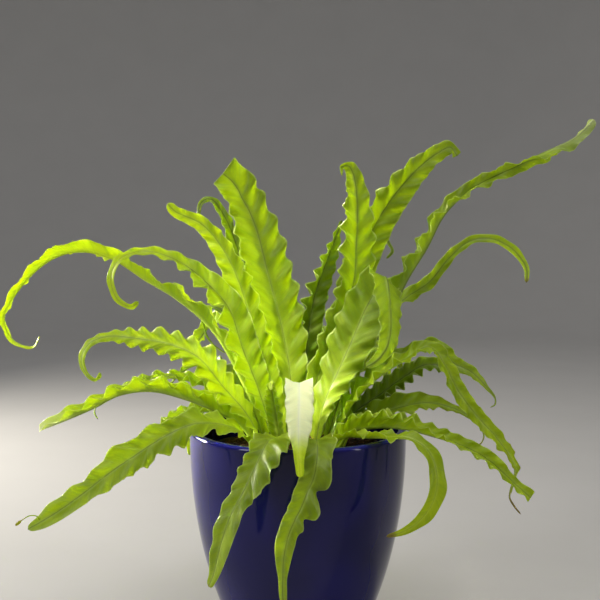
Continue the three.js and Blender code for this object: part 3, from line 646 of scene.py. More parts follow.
@dataclass(frozen=True)
class StudioPaper:
    """Studio background paper: matte and pale, with a trace of tooth."""

    name: str = "background_paper"
    sheet: str = "b9b8b5"
    shaded: str = "b3b2af"
    tooth: float = 120 * MM

    def material(self) -> bpy.types.Material:
        """Makes the paper."""
        material, add = new_material(self.name)
        place = add("ShaderNodeTexCoord")["Object"]
        tooth = add("ShaderNodeTexNoise", {"Vector": place, "Scale": 1 / self.tooth, "Detail": 4.0})
        colour = add("ShaderNodeMix", {
            FACTOR: tooth[0], FIRST: linear(self.sheet), SECOND: linear(self.shaded),
        }, data_type="RGBA")[MIXED]
        paper = add("ShaderNodeBsdfPrincipled", {
            "Base Color": colour, "Roughness": 0.9, "Specular IOR Level": 0.2,
        })
        add("ShaderNodeOutputMaterial", {0: paper[0]})
        return material


YOUNG = LivingFrond(
    "fern_frond_young", light="b3c92e", dark="9ab31e", vein="c6da5c", rib="84a024",
    foot="d8eb40", glow="eefc22", roughness=0.33)
FULL = LivingFrond(
    "fern_frond_full", light="9eb32c", dark="82991e", vein="b0c650", rib="6a801c",
    foot="cce13a", glow="e6f818", roughness=0.35, see_through=0.54)
# A darker, duller copy of the frond finish for fronds that sit in shade: painted shade.
PAINTED_SHADE_FROND = LivingFrond(
    "fern_frond_painted_shade", light="84982c", dark="6c8220", vein="98a850", rib="58681e",
    foot="a8c044", glow="d0e81c", roughness=0.36, see_through=0.5)
FROND_FINISHES = {"frond_young": YOUNG, "frond_full": FULL, "frond_shaded": PAINTED_SHADE_FROND}


@dataclass(frozen=True)
class Stretch:
    """A stretch of a frond that carries a mark of age or of painted light.

    Attributes:
        what: the mark it carries.
        start: where it starts, as a share of the frond's length.
        full: where it is complete, as a share of the length, before or after the start.
        strength: how far it has gone, from 0 to 1.
        margin: how far out it starts, as a share of the half width.
    """

    what: AgeingAndLight
    start: float
    full: float
    strength: float = 1.0
    margin: float = 0.0

    def share(self, along: np.ndarray, out: np.ndarray) -> np.ndarray:
        """Says how strongly the stretch is marked.

        Args:
            along: shares of the frond's length.
            out: shares of its half width.

        Returns:
            Shares from 0 to 1.
        """
        reached = ramp(along, self.start, self.full)
        if self.margin:
            reached = reached * ramp(out, self.margin, 1.0)
        return self.strength * reached


# Yellow stretches are partly painted glow, where light shines through; pale ones are partly painted sheen, and the
# centre young frond's is a painted highlight.
AGED_AND_LIT_STRETCHES = {
    "frond_left_near_broad": (Stretch(AgeingAndLight.BLEACH_AND_SHEEN, 0.6, 0.95, 0.15, margin=0.4),),
    "frond_left_low_point": (Stretch(AgeingAndLight.BLEACH_AND_SHEEN, 0.8, 1.0, 0.6),),
    "frond_right_longest": (Stretch(AgeingAndLight.BLEACH_AND_SHEEN, 0.85, 1.0, 0.3),),
    "frond_front_left_hanging": (Stretch(AgeingAndLight.DRIED, 0.985, 1.0, 0.7),),
    "frond_right_arch": (Stretch(AgeingAndLight.DRIED, 0.975, 1.0, 0.8),),
    "frond_right_near_hanging": (
        Stretch(AgeingAndLight.YELLOWING_AND_GLOW, 0.55, 0.85, 0.8), Stretch(AgeingAndLight.DRIED, 0.95, 0.98, 0.9)),
    "frond_right_twisted_drop": (
        Stretch(AgeingAndLight.DRIED, 0.7, 0.85, 0.7, margin=0.75), Stretch(AgeingAndLight.DRIED, 0.9, 0.96)),
    "frond_right_low_curl": (
        Stretch(AgeingAndLight.DRIED, 0.4, 0.7, 0.6, margin=0.7), Stretch(AgeingAndLight.DRIED, 0.9, 0.97)),
    "frond_left_long_arch": (Stretch(AgeingAndLight.YELLOWING_AND_GLOW, 0.35, 0.6, 0.8),),
    "frond_left_hook": (Stretch(AgeingAndLight.YELLOWING_AND_GLOW, 0.6, 0.8, 0.6),),
    "frond_centre_young": (
        Stretch(AgeingAndLight.YELLOWING_AND_GLOW, 0.75, 0.88, 0.9), Stretch(AgeingAndLight.BLEACH_AND_SHEEN, 0.9, 0.78, 0.85)),
}

# The share of the length where a frond's margin loses its small ripples and runs smooth.
# The other fronds keep them to the tip.
SMOOTH_FROM = {
    "frond_front_left_hanging": 0.6,
    "frond_front_hanging": 0.7,
    "frond_right_arch": 0.55,
    "frond_right_near_hanging": 0.5,
    "frond_left_near_broad": 0.75,
    "frond_left_low_point": 0.7,
    "frond_left_ruffled_curl": 0.7,
    "frond_left_hook": 0.7,
}
PAST_TIP = 1.2


def trace_sections(solid: bpy.types.Object, crown: np.ndarray) -> np.ndarray:
    """Puts the corners of a CAD frond in order, from its foot to its tip.

    The solid is a tube of six-cornered sections: left margin, midrib and right margin
    on the upper face, then the same below. Its faces are all split one way, so each
    corner is known by the corners that it shares an edge with.

    Args:
        solid: the frond's CAD object.
        crown: a point on the crown, next to the frond's foot.

    Returns:
        An array of sections by six corners by x, y and z.

    Raises:
        ValueError: where the solid isn't such a tube.
    """
    same_corner = 0.02 * MM
    form = bmesh.new()
    form.from_mesh(solid.data)
    bmesh.ops.remove_doubles(form, verts=form.verts, dist=same_corner)
    form.verts.index_update()
    places = np.array([v.co for v in form.verts])
    near = [{e.other_vert(v).index for e in v.link_edges} for v in form.verts]
    form.free()
    foot = set(np.argsort(np.linalg.norm(places - crown, axis=1))[:6].tolist())

    def corner(group: set[int], tied: int, *edges: int) -> int:
        """Finds the group's one corner with so many neighbours in the foot, and in all."""
        (found,) = [v for v in group if len(near[v] & foot) == tied
                    and (not edges or len(near[v]) in edges)]
        return found

    first, last = corner(foot, 2, 4), corner(foot, 2, 5)
    beside_first, beside_last = near[first] & foot, near[last] & foot
    rows = [[first, corner(beside_first, 4), corner(beside_last, 3),
             corner(beside_first, 3), corner(beside_last, 4), last]]
    seen = set(foot)
    while len(seen) < len(places):
        # A corner's next one is its only neighbour that isn't in a row yet.
        row = {}
        for k, found in ((3, ()), (4, (3,)), (0, (3,)), (1, (0,)), (2, (1,)), (5, (2, 4))):
            (row[k],) = near[rows[-1][k]] - seen - {row[f] for f in found}
        rows.append([row[k] for k in range(6)])
        seen.update(rows[-1])
    return places[np.array(rows)]


@dataclass
class Frond:
    """One frond: a keeled, ruffled blade on a midrib, skinned over its CAD solid.

    Attributes:
        node: the CAD node that it stands for.
        slot: the record's material slot.
        seed: the number that its small ripples are drawn from.
        row_step: distance between two rows of corners.
        rib_spread: width of the midrib's flanks, as a share of the solid's depth there.
        fold_slant: how far a ruffle runs ahead from the margin in, per half width.
        lobe: how much narrower the blade is where the margin dips.
        bow: how far each half bulges upward, as a share of the half width.
        ripples: the length and height of each small wave that is added to the margin.
        rippled_half: the half width from which the ripples have their full height.
        rippled_from: the distances from the foot over which they set in.
        blunt_half: the half width from which the last section makes a blunt tip.
        tip_round: how far before the end a blunt tip starts to close.
        point_round: the same for a pointed tip, as a share of its last half width.
        rib_columns: columns of corners on the midrib's flank, in widths of that flank.
        rib_limits: the share of the half width that each of those columns stays within.
        blade_columns: those on the blade beside it, as shares of the way to the margin.
        sections: the solid's sections, from foot to tip.
    """

    node: str
    slot: str
    seed: int
    row_step: float = 1.25 * MM
    blade_thickness: float = 0.55 * MM
    rib_spread: float = 0.62
    ruffle_power: float = 1.25
    fold_slant: float = 0.7
    lobe: float = 0.1
    bow: float = 0.05
    ripples: tuple[tuple[float, float], ...] = (
        (10.3 * MM, 1.5 * MM), (6.7 * MM, 1.0 * MM), (4.1 * MM, 0.45 * MM))
    rippled_half: float = 9 * MM
    rippled_from: tuple[float, float] = (15 * MM, 30 * MM)
    blunt_half: float = 4.5 * MM
    tip_round: float = 2 * MM
    point_round: float = 1.3
    rib_columns: tuple[float, ...] = (0.5, 1.0, 1.5)
    rib_limits: tuple[float, ...] = (0.2, 0.35, 0.5)
    blade_columns: tuple[float, ...] = (0.16, 0.34, 0.52, 0.7, 0.85, 0.95, 1.0)
    sections: np.ndarray = field(default=None, repr=False)

    @property
    def midrib(self) -> np.ndarray:
        """The midrib's middle in each section, between its ridge and its keel."""
        return (self.sections[:, 1] + self.sections[:, 4]) / 2

    def measure(self, solid: bpy.types.Object, crown: np.ndarray) -> None:
        """Reads the blade's sections off its solid."""
        self.sections = trace_sections(solid, crown)

    def rows(self) -> tuple[np.ndarray, np.ndarray]:
        """Sets out the blade along its length.

        Returns:
            The distance of each CAD section along the midrib, and of each fine row.
        """
        steps = np.linalg.norm(np.diff(self.midrib, axis=0), axis=1)
        knots = np.concatenate([[0], np.cumsum(steps)])
        count = int(knots[-1] / self.row_step) + 1
        return knots, np.linspace(0, knots[-1], count)

    def half_blade(self, hand: int, knots: np.ndarray, rows: np.ndarray,
                   out: np.ndarray) -> np.ndarray:
        """Shapes the surface of one half of the blade, from the midrib out.

        Args:
            hand: 0 for the left half and 2 for the right one.
            knots: distance of each CAD section along the midrib.
            rows: distance of each fine row along it.
            out: for each row, shares of the half width from 0 to 1.

        Returns:
            An array of rows by columns by x, y and z, measured from the midrib.
        """
        upper, lower = self.sections[:, hand], self.sections[:, hand + 3]
        across = unit(upper - lower)
        margin = (upper + lower) / 2 - self.midrib
        wave = np.sum(margin * across, axis=1)
        flat = margin - wave[:, None] * across
        turn = np.sign(wave) * (np.arange(len(knots)) > 1)

        spread = smooth_curve(knots, flat, rows)[:, None]
        lift = unit(smooth_curve(knots, across, rows))[:, None]
        keel = unit(smooth_curve(knots, unit(self.sections[:, 1] - self.sections[:, 4]), rows))
        half = np.linalg.norm(spread, axis=-1)
        ahead = rows[:, None] + (1 - out) * self.fold_slant * half
        ruffle = swell(knots, wave, ahead) * out ** self.ruffle_power
        lobes = 1 - self.lobe * out ** 2 * (1 - swell(knots, turn, ahead)) / 2

        draw = np.random.default_rng(self.seed * 10 + hand)
        lively = np.clip(half / self.rippled_half, 0.05, 1) ** 1.5
        lively = lively * ramp(rows, *self.rippled_from)[:, None]
        smooth = SMOOTH_FROM.get(self.node, PAST_TIP)
        lively = lively * (1 - ramp(rows / rows[-1], smooth - 0.1, smooth + 0.1))[:, None]
        for length, height in self.ripples:
            start, other = draw.uniform(0, 2 * np.pi, 2)
            drift = 1.6 * np.sin(rows / (3.3 * length) + start)[:, None]
            fading = 0.65 + 0.35 * np.sin(rows / (2.1 * length) + other)[:, None]
            ruffle = ruffle + height * lively * fading * out ** 3 * np.sin(
                2 * np.pi * ahead / length + start + drift)
        bow = self.bow * half * 4 * out * (1 - out)
        return (spread * (out * lobes)[..., None] + lift * ruffle[..., None]
                + keel[:, None] * bow[..., None])

    def skin(self) -> tuple[
            np.ndarray, np.ndarray, np.ndarray, dict[str, np.ndarray], np.ndarray]:
        """Skins both faces of the blade.

        Returns:
            The corners, the four-cornered faces, the triangles at the blade's four ends,
            the two maps and the layer of age and painted light.
        """
        knots, rows = self.rows()
        centre = smooth_curve(knots, self.midrib, rows)
        depths = np.linalg.norm(self.sections[:, 1] - self.sections[:, 4], axis=1)
        halves = np.linalg.norm(self.sections[:, 0] - self.sections[:, 2], axis=1) / 2
        end = rows[-1]
        rounding = self.tip_round
        if halves[-1] <= self.blunt_half:
            rounding = max(self.point_round * halves[-1], self.tip_round)
        # Half width and thickness close at the tip along a quarter ellipse.
        closing = np.sqrt(1 - np.clip((rows - end + rounding) / rounding, 0, 0.9995) ** 2)

        rib = np.interp(rows, knots, depths)
        half = np.interp(rows, knots, halves) * closing
        ribbed = self.rib_spread * rib
        inner = np.minimum(np.outer(ribbed, self.rib_columns) / half[:, None], self.rib_limits)
        outer = inner[:, -1:] + (1 - inner[:, -1:]) * np.array(self.blade_columns)
        out = np.concatenate([inner, outer], axis=1)

        left = self.half_blade(0, knots, rows, out) * closing[:, None, None]
        right = self.half_blade(2, knots, rows, out) * closing[:, None, None]
        surface = centre[:, None] + np.concatenate([
            left[:, ::-1], np.zeros((len(rows), 1, 3)), right], axis=1)
        signed = np.concatenate([-out[:, ::-1], np.zeros((len(rows), 1)), out], axis=1)
        shares = np.abs(signed)

        columns = shares.shape[1]
        normal = unit(np.cross(np.gradient(surface, axis=1), np.gradient(surface, axis=0)))
        edge = np.sqrt(np.clip(1 - shares ** 6, 0, 1))
        flesh = self.blade_thickness / 2 * (1 - 0.3 * shares) * edge * (0.3 + 0.7 * closing[:, None])
        ridge = np.maximum(rib / 2 * closing - self.blade_thickness / 2, 0)[:, None] * np.exp(
            -(shares * half[:, None] / ribbed[:, None]) ** 2 * 1.4)
        above = surface + normal * (flesh + 0.3 * ridge)[..., None]
        below = surface - normal * (flesh + ridge)[..., None]
        inside = slice(columns - 2, 0, -1)
        places = np.concatenate([above, below[:, inside]], axis=1)
        ring = places.shape[1]

        distance = signed * half[:, None]
        along = np.broadcast_to(rows[:, None], signed.shape)
        measure = np.stack([along, distance], -1)
        share = np.stack([along / end, shares], -1)
        aged_and_lit = np.zeros((*signed.shape, 3))
        for stretch in AGED_AND_LIT_STRETCHES.get(self.node, ()):
            channel = stretch.what.value
            reached = stretch.share(along / end, shares)
            aged_and_lit[..., channel] = np.maximum(aged_and_lit[..., channel], reached)

        def both_faces(values: np.ndarray) -> np.ndarray:
            """Repeats what belongs to the upper face on the lower one."""
            whole = np.concatenate([values, values[:, inside]], axis=1)
            return whole.reshape(-1, values.shape[-1])

        quads = [ring_quads(len(rows), ring)]
        triangles = []
        upper = np.arange(1, columns - 1)
        lower = ring - upper
        cap = np.stack([upper[:-1], lower[:-1], lower[1:], upper[1:]], -1)
        corners = np.array([[0, lower[0], upper[0]], [columns - 1, upper[-1], lower[-1]]])
        for start, order in ((0, 1), ((len(rows) - 1) * ring, -1)):
            quads.append(cap[:, ::order] + start)
            triangles.append(corners[:, ::order] + start)
        maps = {"measure": both_faces(measure), "share": both_faces(share)}
        return (places.reshape(-1, 3), np.concatenate(quads), np.concatenate(triangles), maps,
                both_faces(aged_and_lit))

    def build(self, material: bpy.types.Material, low: Vector, high: Vector) -> None:
        """Builds the fine blade and lets it stand for its CAD solid.

        Args:
            material: its finish.
            low: the lowest corner of the plant's box, which its ripples stay inside.
            high: the highest corner of that box.
        """
        places, quads, triangles, maps, aged_and_lit = self.skin()
        places = np.clip(places, low, high)
        piece = make_piece(f"{self.node}_blade", places, quads, triangles, maps, {"ageing_and_light": aged_and_lit})
        settle(piece, material, self.slot, self.node)


@dataclass
class Tendril:
    """A stray thread of leaf that ends in a dry knob, behind a frond's tip.

    Attributes:
        name: the piece's name.
        line: the places that it runs through.
    """

    name: str
    line: tuple[tuple[float, float, float], ...]
    radius: float = 0.45 * MM
    knob_radius: float = 1.2 * MM
    rows: int = 48
    facets: int = 10

    def build(self, material: bpy.types.Material) -> None:
        """Builds the thread as a tube that swells into the knob."""
        knots = np.linspace(0, 1, len(self.line))
        share = np.linspace(0, 1, self.rows)
        centre = smooth_curve(knots, np.array(self.line) * MM, share)
        heading = unit(np.gradient(centre, axis=0))
        side = unit(np.cross(heading, (0, 1.0, 0)))
        over = np.cross(side, heading)
        knob = np.sqrt(np.clip(1 - ((share - 0.9) / 0.1) ** 2, 0, 1))
        radius = np.maximum(self.radius * (1 - 0.3 * share), self.knob_radius * knob)
        radius[-1] = 0.1 * MM
        turn = around(self.facets)
        rings = centre[:, None] + radius[:, None, None] * (
            np.cos(turn)[None, :, None] * side[:, None] + np.sin(turn)[None, :, None] * over[:, None])
        faces = ring_quads(self.rows, self.facets)
        here = np.arange(1, self.facets - 1)
        foot = np.stack([np.zeros_like(here), here + 1, here], -1)
        tip = foot[:, ::-1] + (self.rows - 1) * self.facets
        shares = np.repeat(share, self.facets)
        measure = np.stack([shares * 20 * MM, np.full_like(shares, 4 * MM)], -1)
        aged_and_lit = np.zeros((len(shares), 3))
        aged_and_lit[:, AgeingAndLight.DRIED.value] = ramp(shares, 0.55, 0.8)
        piece = make_piece(self.name, rings.reshape(-1, 3), faces, np.concatenate([foot, tip]),
                           {"measure": measure, "share": measure * 0 + 0.5}, {"ageing_and_light": aged_and_lit})
        settle(piece, material, "frond_full")


STRAY_TENDRIL = Tendril("frond_left_near_broad_tendril", (
    (-182, -105, 122), (-184, -106, 127), (-189, -107, 128), (-194, -108, 125.5),
    (-199, -109, 121.5)))


@dataclass
class Foliage:
    """All the fronds of the plant, one piece each.

    Attributes:
        crown_point: a point on the crown, next to every frond's foot.
        low: the lowest corner of the plant's box.
        high: the highest corner of that box.
    """

    crown_point: Vector
    low: Vector
    high: Vector
    fronds: list[Frond] = field(default_factory=list)

    def gather(self, frame: dict) -> None:
        """Lists a frond for each CAD node whose slot is a frond's."""
        entries = [e for e in frame["record"]["subparts"] if e["material_slot"] in FROND_FINISHES]
        for seed, entry in enumerate(sorted(entries, key=lambda e: e["node"])):
            self.fronds.append(Frond(entry["node"], entry["material_slot"], seed + 1))

    def build(self, frame: dict) -> None:
        """Builds every frond, or dresses the CAD solid where it can't be measured."""
        materials = {slot: finish.material() for slot, finish in FROND_FINISHES.items()}
        for frond in self.fronds:
            solid = frame["nodes"][frond.node]
            try:
                frond.measure(solid, np.array(self.crown_point))
            except ValueError:
                log.warning("%s keeps its plain solid", frond.node)
                solid.data.materials.clear()
                solid.data.materials.append(materials[frond.slot])
                continue
            frond.build(materials[frond.slot], self.low, self.high)
        STRAY_TENDRIL.build(materials["frond_full"])


@dataclass
class GlazedPot:
    """The pot: one thrown and dipped piece, bare where it stands.

    Attributes:
        height: of the lip above the foot.
        rim_radius: of the outer wall at the lip.
        base_radius: of the foot.
        lip_width: thickness of the wall.
        lip_round: radius of the lip's edges.
        floor: thickness of the floor.
        foot_round: how far the foot's edge is drawn in.
        upright_from: the share of the height from which the wall stands upright.
        wall_swell: how early the wall swells, where 1 follows a sine and less is earlier.
        bare_height: how high the bare clay of the foot reaches.
    """

    height: float
    rim_radius: float
    base_radius: float = 48 * MM
    lip_width: float = 7 * MM
    lip_round: float = 2.5 * MM
    floor: float = 8 * MM
    foot_round: float = 1.2 * MM
    upright_from: float = 0.95
    wall_swell: float = 0.78
    bare_height: float = 1.5 * MM
    facets: int = 192
    wall_rows: int = 60
    inner_rows: int = 30
    lip_rows: int = 7

    def wall_radius(self, height: float) -> float:
        """The outer wall's radius: it swells from the foot and stands upright at the lip."""
        share = min(height / (self.height * self.upright_from), 1)
        swollen = math.sin(share ** self.wall_swell * math.pi / 2)
        return self.base_radius + (self.rim_radius - self.base_radius) * swollen

    def profile(self) -> list[tuple[float, float]]:
        """Draws the wall from the foot, over the lip and down to the floor inside."""
        foot = self.base_radius - self.foot_round
        points = [(0.0, 0.0), (self.base_radius * 0.6, 0.0), (foot, 0.0)]
        top = self.height - self.lip_round
        points += [(self.wall_radius(z), z)
                   for z in np.linspace(self.foot_round, top, self.wall_rows)]
        quarter = np.linspace(0, math.pi / 2, self.lip_rows)
        inner = self.rim_radius - self.lip_width
        for edge, way, turns in (
                (self.rim_radius, -1, quarter[1:]), (inner, 1, quarter[::-1])):
            points += [(edge + way * self.lip_round * (1 - math.cos(turn)),
                        top + self.lip_round * math.sin(turn)) for turn in turns]
        points += [(self.wall_radius(z) - self.lip_width, z)
                   for z in np.linspace(top - 2 * self.lip_round, self.floor, self.inner_rows)]
        return points + [(0.0, self.floor)]

    def build(self) -> None:
        """Turns the profile and dresses it in glaze, with bare clay underneath."""
        points = np.array(self.profile())
        turn = around(self.facets)
        radii, heights = points[1:-1, 0], points[1:-1, 1]
        rings = np.stack([
            np.outer(radii, np.cos(turn)), np.outer(radii, np.sin(turn)),
            np.repeat(heights[:, None], self.facets, axis=1)], -1)
        piece = make_turned("pot_glazed", rings, foot=0.0, top=self.floor)
        settle(piece, CobaltGlaze().material(self.height), "glazed_pot", "pot")
        piece.data.materials.append(Biscuit().material())
        for face in piece.data.polygons:
            if max(piece.data.vertices[v].co.z for v in face.vertices) < self.bare_height:
                face.material_index = 1


@dataclass
class PottingMix:
    """Peat, bark chips and fibres that fill the pot to a little under its lip.

    Attributes:
        top: height of its surface.
        bottom: height of its underside.
        pot: the pot that holds it.
        wall_gap: air between it and the pot's wall.
        edge_drop: how far under the top its edge at the wall ends.
        relief: how uneven its surface is.
        hollow_size: size of the broad hollows in the surface.
        crumb_size: size of the crumbs on it.
        chip_size: the smallest and the largest bark chip.
        flattest_chip: the least length, width and height of a chip, by its size.
        fullest_chip: the greatest.
        fibre_step: distance between two places on a fibre.
        fibre_radius: the thinnest and the thickest fibre.
    """

    top: float
    bottom: float
    pot: GlazedPot
    wall_gap: float = 0.6 * MM
    edge_drop: float = 1.5 * MM
    relief: float = 2.2 * MM
    hollow_size: float = 18 * MM
    crumb_size: float = 4 * MM
    edge_rows: int = 24
    rings: int = 60
    facets: int = 150
    chips: int = 900
    chip_size: tuple[float, float] = (0.8 * MM, 3.2 * MM)
    flattest_chip: tuple[float, float, float] = (0.8, 0.5, 0.25)
    fullest_chip: tuple[float, float, float] = (1.5, 1.0, 0.5)
    fibres: int = 260
    fibre_steps: int = 7
    fibre_step: float = 1.4 * MM
    fibre_radius: tuple[float, float] = (0.12 * MM, 0.3 * MM)

    def radius(self, height: float) -> float:
        """The mix's radius where it lies against the pot's wall."""
        return self.pot.wall_radius(height) - self.pot.lip_width - self.wall_gap

    def surface_height(self, x: float, y: float) -> float:
        """The height of the uneven surface at a place."""
        hollows = noise.noise(Vector((x, y, 0)) / self.hollow_size)
        crumbs = noise.noise(Vector((x, y, 0.4)) / self.crumb_size)
        return self.top + self.relief * (0.5 * hollows + 0.35 * crumbs - 0.2)

    def build_bed(self, material: bpy.types.Material) -> None:
        """Builds the body of the mix with its crumbled surface."""
        turn = around(self.facets)
        levels = np.linspace(self.bottom, self.top - self.edge_drop, self.edge_rows)
        rows = [(self.radius(z), z, False) for z in levels]
        rows += [(self.radius(self.top) * (1 - k / self.rings), self.top, True)
                 for k in range(self.rings)]
        rings = [[(x, y, self.surface_height(x, y) if open_top else height)
                  for x, y in zip(radius * np.cos(turn), radius * np.sin(turn))]
                 for radius, height, open_top in rows]
        piece = make_turned("potting_mix_bed", np.array(rings), self.bottom,
                            self.surface_height(0, 0))
        settle(piece, material, "potting_mix", "potting_mix")

    def scatter(self, draw: np.random.Generator, margin: float) -> tuple[float, float, float]:
        """Picks a place on the surface.

        Args:
            draw: the generator.
            margin: how far it stays off the wall.

        Returns:
            The place's x and y and the surface's height there.
        """
        reach = (self.radius(self.top) - margin) * math.sqrt(draw.uniform(0, 1))
        angle = draw.uniform(0, 2 * math.pi)
        x, y = reach * math.cos(angle), reach * math.sin(angle)
        return x, y, self.surface_height(x, y)

    def lay_fibre(self, draw: np.random.Generator) -> np.ndarray:
        """Bends one fibre over the surface.

        Args:
            draw: the generator.

        Returns:
            An array of four edges by places by x, y and z.
        """
        x, y, _ = self.scatter(draw, margin=9 * MM)
        heading = draw.uniform(0, 2 * math.pi)
        turn_rate = draw.normal(0, 0.35)
        strand = []
        for step in range(self.fibre_steps):
            strand.append((x, y, self.surface_height(x, y) + 0.5 * MM))
            x += self.fibre_step * math.cos(heading + turn_rate * step)
            y += self.fibre_step * math.sin(heading + turn_rate * step)
        line = np.array(strand)
        cross = unit(np.cross(np.gradient(line, axis=0), (0, 0, 1.0)))
        thick = draw.uniform(*self.fibre_radius)
        up = np.array([0, 0, 1.0])
        return np.array([line + thick * (math.cos(turn) * cross + math.sin(turn) * up)
                         for turn in around(4)])

    def build_chips(self, material: bpy.types.Material) -> None:
        """Scatters bark chips and fibres over the surface, all in one piece."""
        draw = np.random.default_rng(41)
        form = bmesh.new()
        bmesh.ops.create_icosphere(form, subdivisions=1, radius=1)
        ball = np.array([v.co for v in form.verts])
        ball_faces = np.array([[v.index for v in f.verts] for f in form.faces])
        form.free()
        places, triangles, quads, count = [], [], [], 0
        for _ in range(self.chips):
            x, y, height = self.scatter(draw, margin=4 * MM)
            size = draw.uniform(*self.chip_size)
            stretch = size * draw.uniform(self.flattest_chip, self.fullest_chip)
            turned, _ = np.linalg.qr(np.eye(3) + 0.5 * draw.normal(size=(3, 3)))
            spin = draw.uniform(0, 2 * math.pi)
            about = np.array([[math.cos(spin), -math.sin(spin), 0],
                              [math.sin(spin), math.cos(spin), 0], [0, 0, 1]])
            lump = ball * stretch * draw.uniform(0.75, 1.15, (len(ball), 1))
            places.append(lump @ turned.T @ about.T + np.array([x, y, height + 0.15 * size]))
            triangles.append(ball_faces + count)
            count += len(ball)
        for _ in range(self.fibres):
            edges = self.lay_fibre(draw)
            places.append(edges.reshape(-1, 3))
            ring = count + np.arange(edges.shape[0] * edges.shape[1]).reshape(edges.shape[:2])
            for a, b in zip(ring, np.roll(ring, -1, axis=0)):
                quads.append(np.stack([a[:-1], a[1:], b[1:], b[:-1]], -1))
            quads.append(ring[:, 0][None, :])
            quads.append(ring[::-1, -1][None, :])
            count += ring.size
        piece = make_piece("potting_mix_chips", np.concatenate(places), np.concatenate(quads),
                           np.concatenate(triangles))
        settle(piece, material, "potting_mix")

    def build(self) -> None:
        """Builds the bed and what lies on it."""
        self.build_bed(Fibrous("peat_crumbled", "1b130d", "3c2b1e", 1.1 * MM).material())
        self.build_chips(Fibrous("bark_chipped", "2a1a10", "6a4a30", 0.7 * MM).material())


@dataclass
class Crown:
    """The short stock between the fronds, clad in brown papery scales.

    Attributes:
        bottom: height of its underside.
        radius: how far out it reaches.
        top: height of its dome.
        shoulder: height where the dome starts.
        knob_size: size of the knobs and dents on it.
        knob_height: how deep the dents between the knobs are.
        scale_length: the shortest and the longest scale.
        scale_width: their widths, as shares of the length.
        scale_rise: how steeply they stand, in radians.
        scale_curl: how far their tips turn out, as a share of the length.
        inward: the share of them that lean to the middle.
    """

    bottom: float
    radius: float
    top: float
    shoulder: float
    knob_size: float = 5 * MM
    knob_height: float = 0.9 * MM
    rings: int = 28
    facets: int = 96
    scales: int = 420
    scale_length: tuple[float, float] = (3.5 * MM, 7 * MM)
    scale_width: tuple[float, float] = (0.28, 0.42)
    scale_rise: tuple[float, float] = (0.5, 1.25)
    scale_curl: float = 0.25
    scale_thickness: float = 0.24 * MM
    inward: float = 0.3

    def dome(self, share: float) -> tuple[float, float]:
        """The dome's radius and height at a share of the way up it."""
        turn = share * math.pi / 2
        return self.radius * math.cos(turn), (
            self.shoulder + (self.top - self.shoulder) * math.sin(turn))

    def build_stock(self, material: bpy.types.Material) -> None:
        """Builds the stock with its knobbly dome."""
        rows = [(self.radius * 0.98, self.bottom), (self.radius, self.bottom + 1 * MM)]
        rows += [self.dome(k / self.rings) for k in range(self.rings)]
        rings = []
        for radius, height in rows:
            ring = []
            for angle in around(self.facets):
                x, y = radius * math.cos(angle), radius * math.sin(angle)
                knob = noise.noise(Vector((x, y, height)) / self.knob_size) * self.knob_height
                drawn_in = 1 - abs(knob) / max(radius, self.knob_size)
                ring.append((x * drawn_in, y * drawn_in, height + min(knob, 0)))
            rings.append(ring)
        piece = make_turned("crown_stock", np.array(rings), self.bottom, self.top - 0.5 * MM)
        settle(piece, material, "crown", "crown")

    def build_scales(self, material: bpy.types.Material) -> None:
        """Lays pointed scales over the dome, thin and turned up at the tip."""
        draw = np.random.default_rng(17)
        outline = np.array([[-0.3, 0], [-0.5, 0.35], [-0.3, 0.75], [0, 1], [0.3, 0.75], [0.5, 0.35],
                            [0.3, 0]])
        places, quads, triangles, count = [], [], [], 0
        for k in range(self.scales):
            share = math.sqrt((k + 0.5) / self.scales)
            angle = k * math.pi * (3 - math.sqrt(5))
            radius, height = self.dome(math.acos(min(share, 0.999)) / (math.pi / 2))
            length = draw.uniform(*self.scale_length)
            width = length * draw.uniform(*self.scale_width)
            out = np.array([math.cos(angle), math.sin(angle), 0])
            side = np.array([-math.sin(angle), math.cos(angle), 0])
            steep = draw.uniform(*self.scale_rise)
            way = draw.choice([-1, 1], p=[self.inward, 1 - self.inward])
            rise = math.cos(steep) * out * way + np.array([0, 0, math.sin(steep)])
            side = unit(side + 0.4 * draw.normal() * out)
            foot = radius * out * 0.98 + np.array([0, 0, height - 0.8 * MM])
            curl = outline[:, 1:] ** 2 * self.scale_curl * length * out
            blade = foot + outline[:, :1] * width * side + outline[:, 1:] * length * rise + curl
            normal = unit(np.cross(side, rise)) * self.scale_thickness / 2
            places.append(np.concatenate([blade + normal, blade - normal]))
            n = len(outline)
            here = np.arange(n)
            following = (here + 1) % n
            quads.append(np.stack([here, here + n, following + n, following], -1) + count)
            face = np.stack([np.full(n - 2, 3), (here[:-2] + 4) % n, (here[:-2] + 5) % n], -1)
            triangles.append(face + count)
            triangles.append(face[:, ::-1] + count + n)
            count += 2 * n
        piece = make_piece("crown_scales", np.concatenate(places), np.concatenate(quads),
                           np.concatenate(triangles))
        settle(piece, material, "crown")

    def build(self) -> None:
        """Builds the stock and its scales."""
        self.build_stock(Fibrous("fern_stock_fibrous", "20150d", "4d3723", 0.9 * MM).material())
        self.build_scales(Fibrous("fern_scale_papery", "3a2415", "7b5836", 0.5 * MM).material())


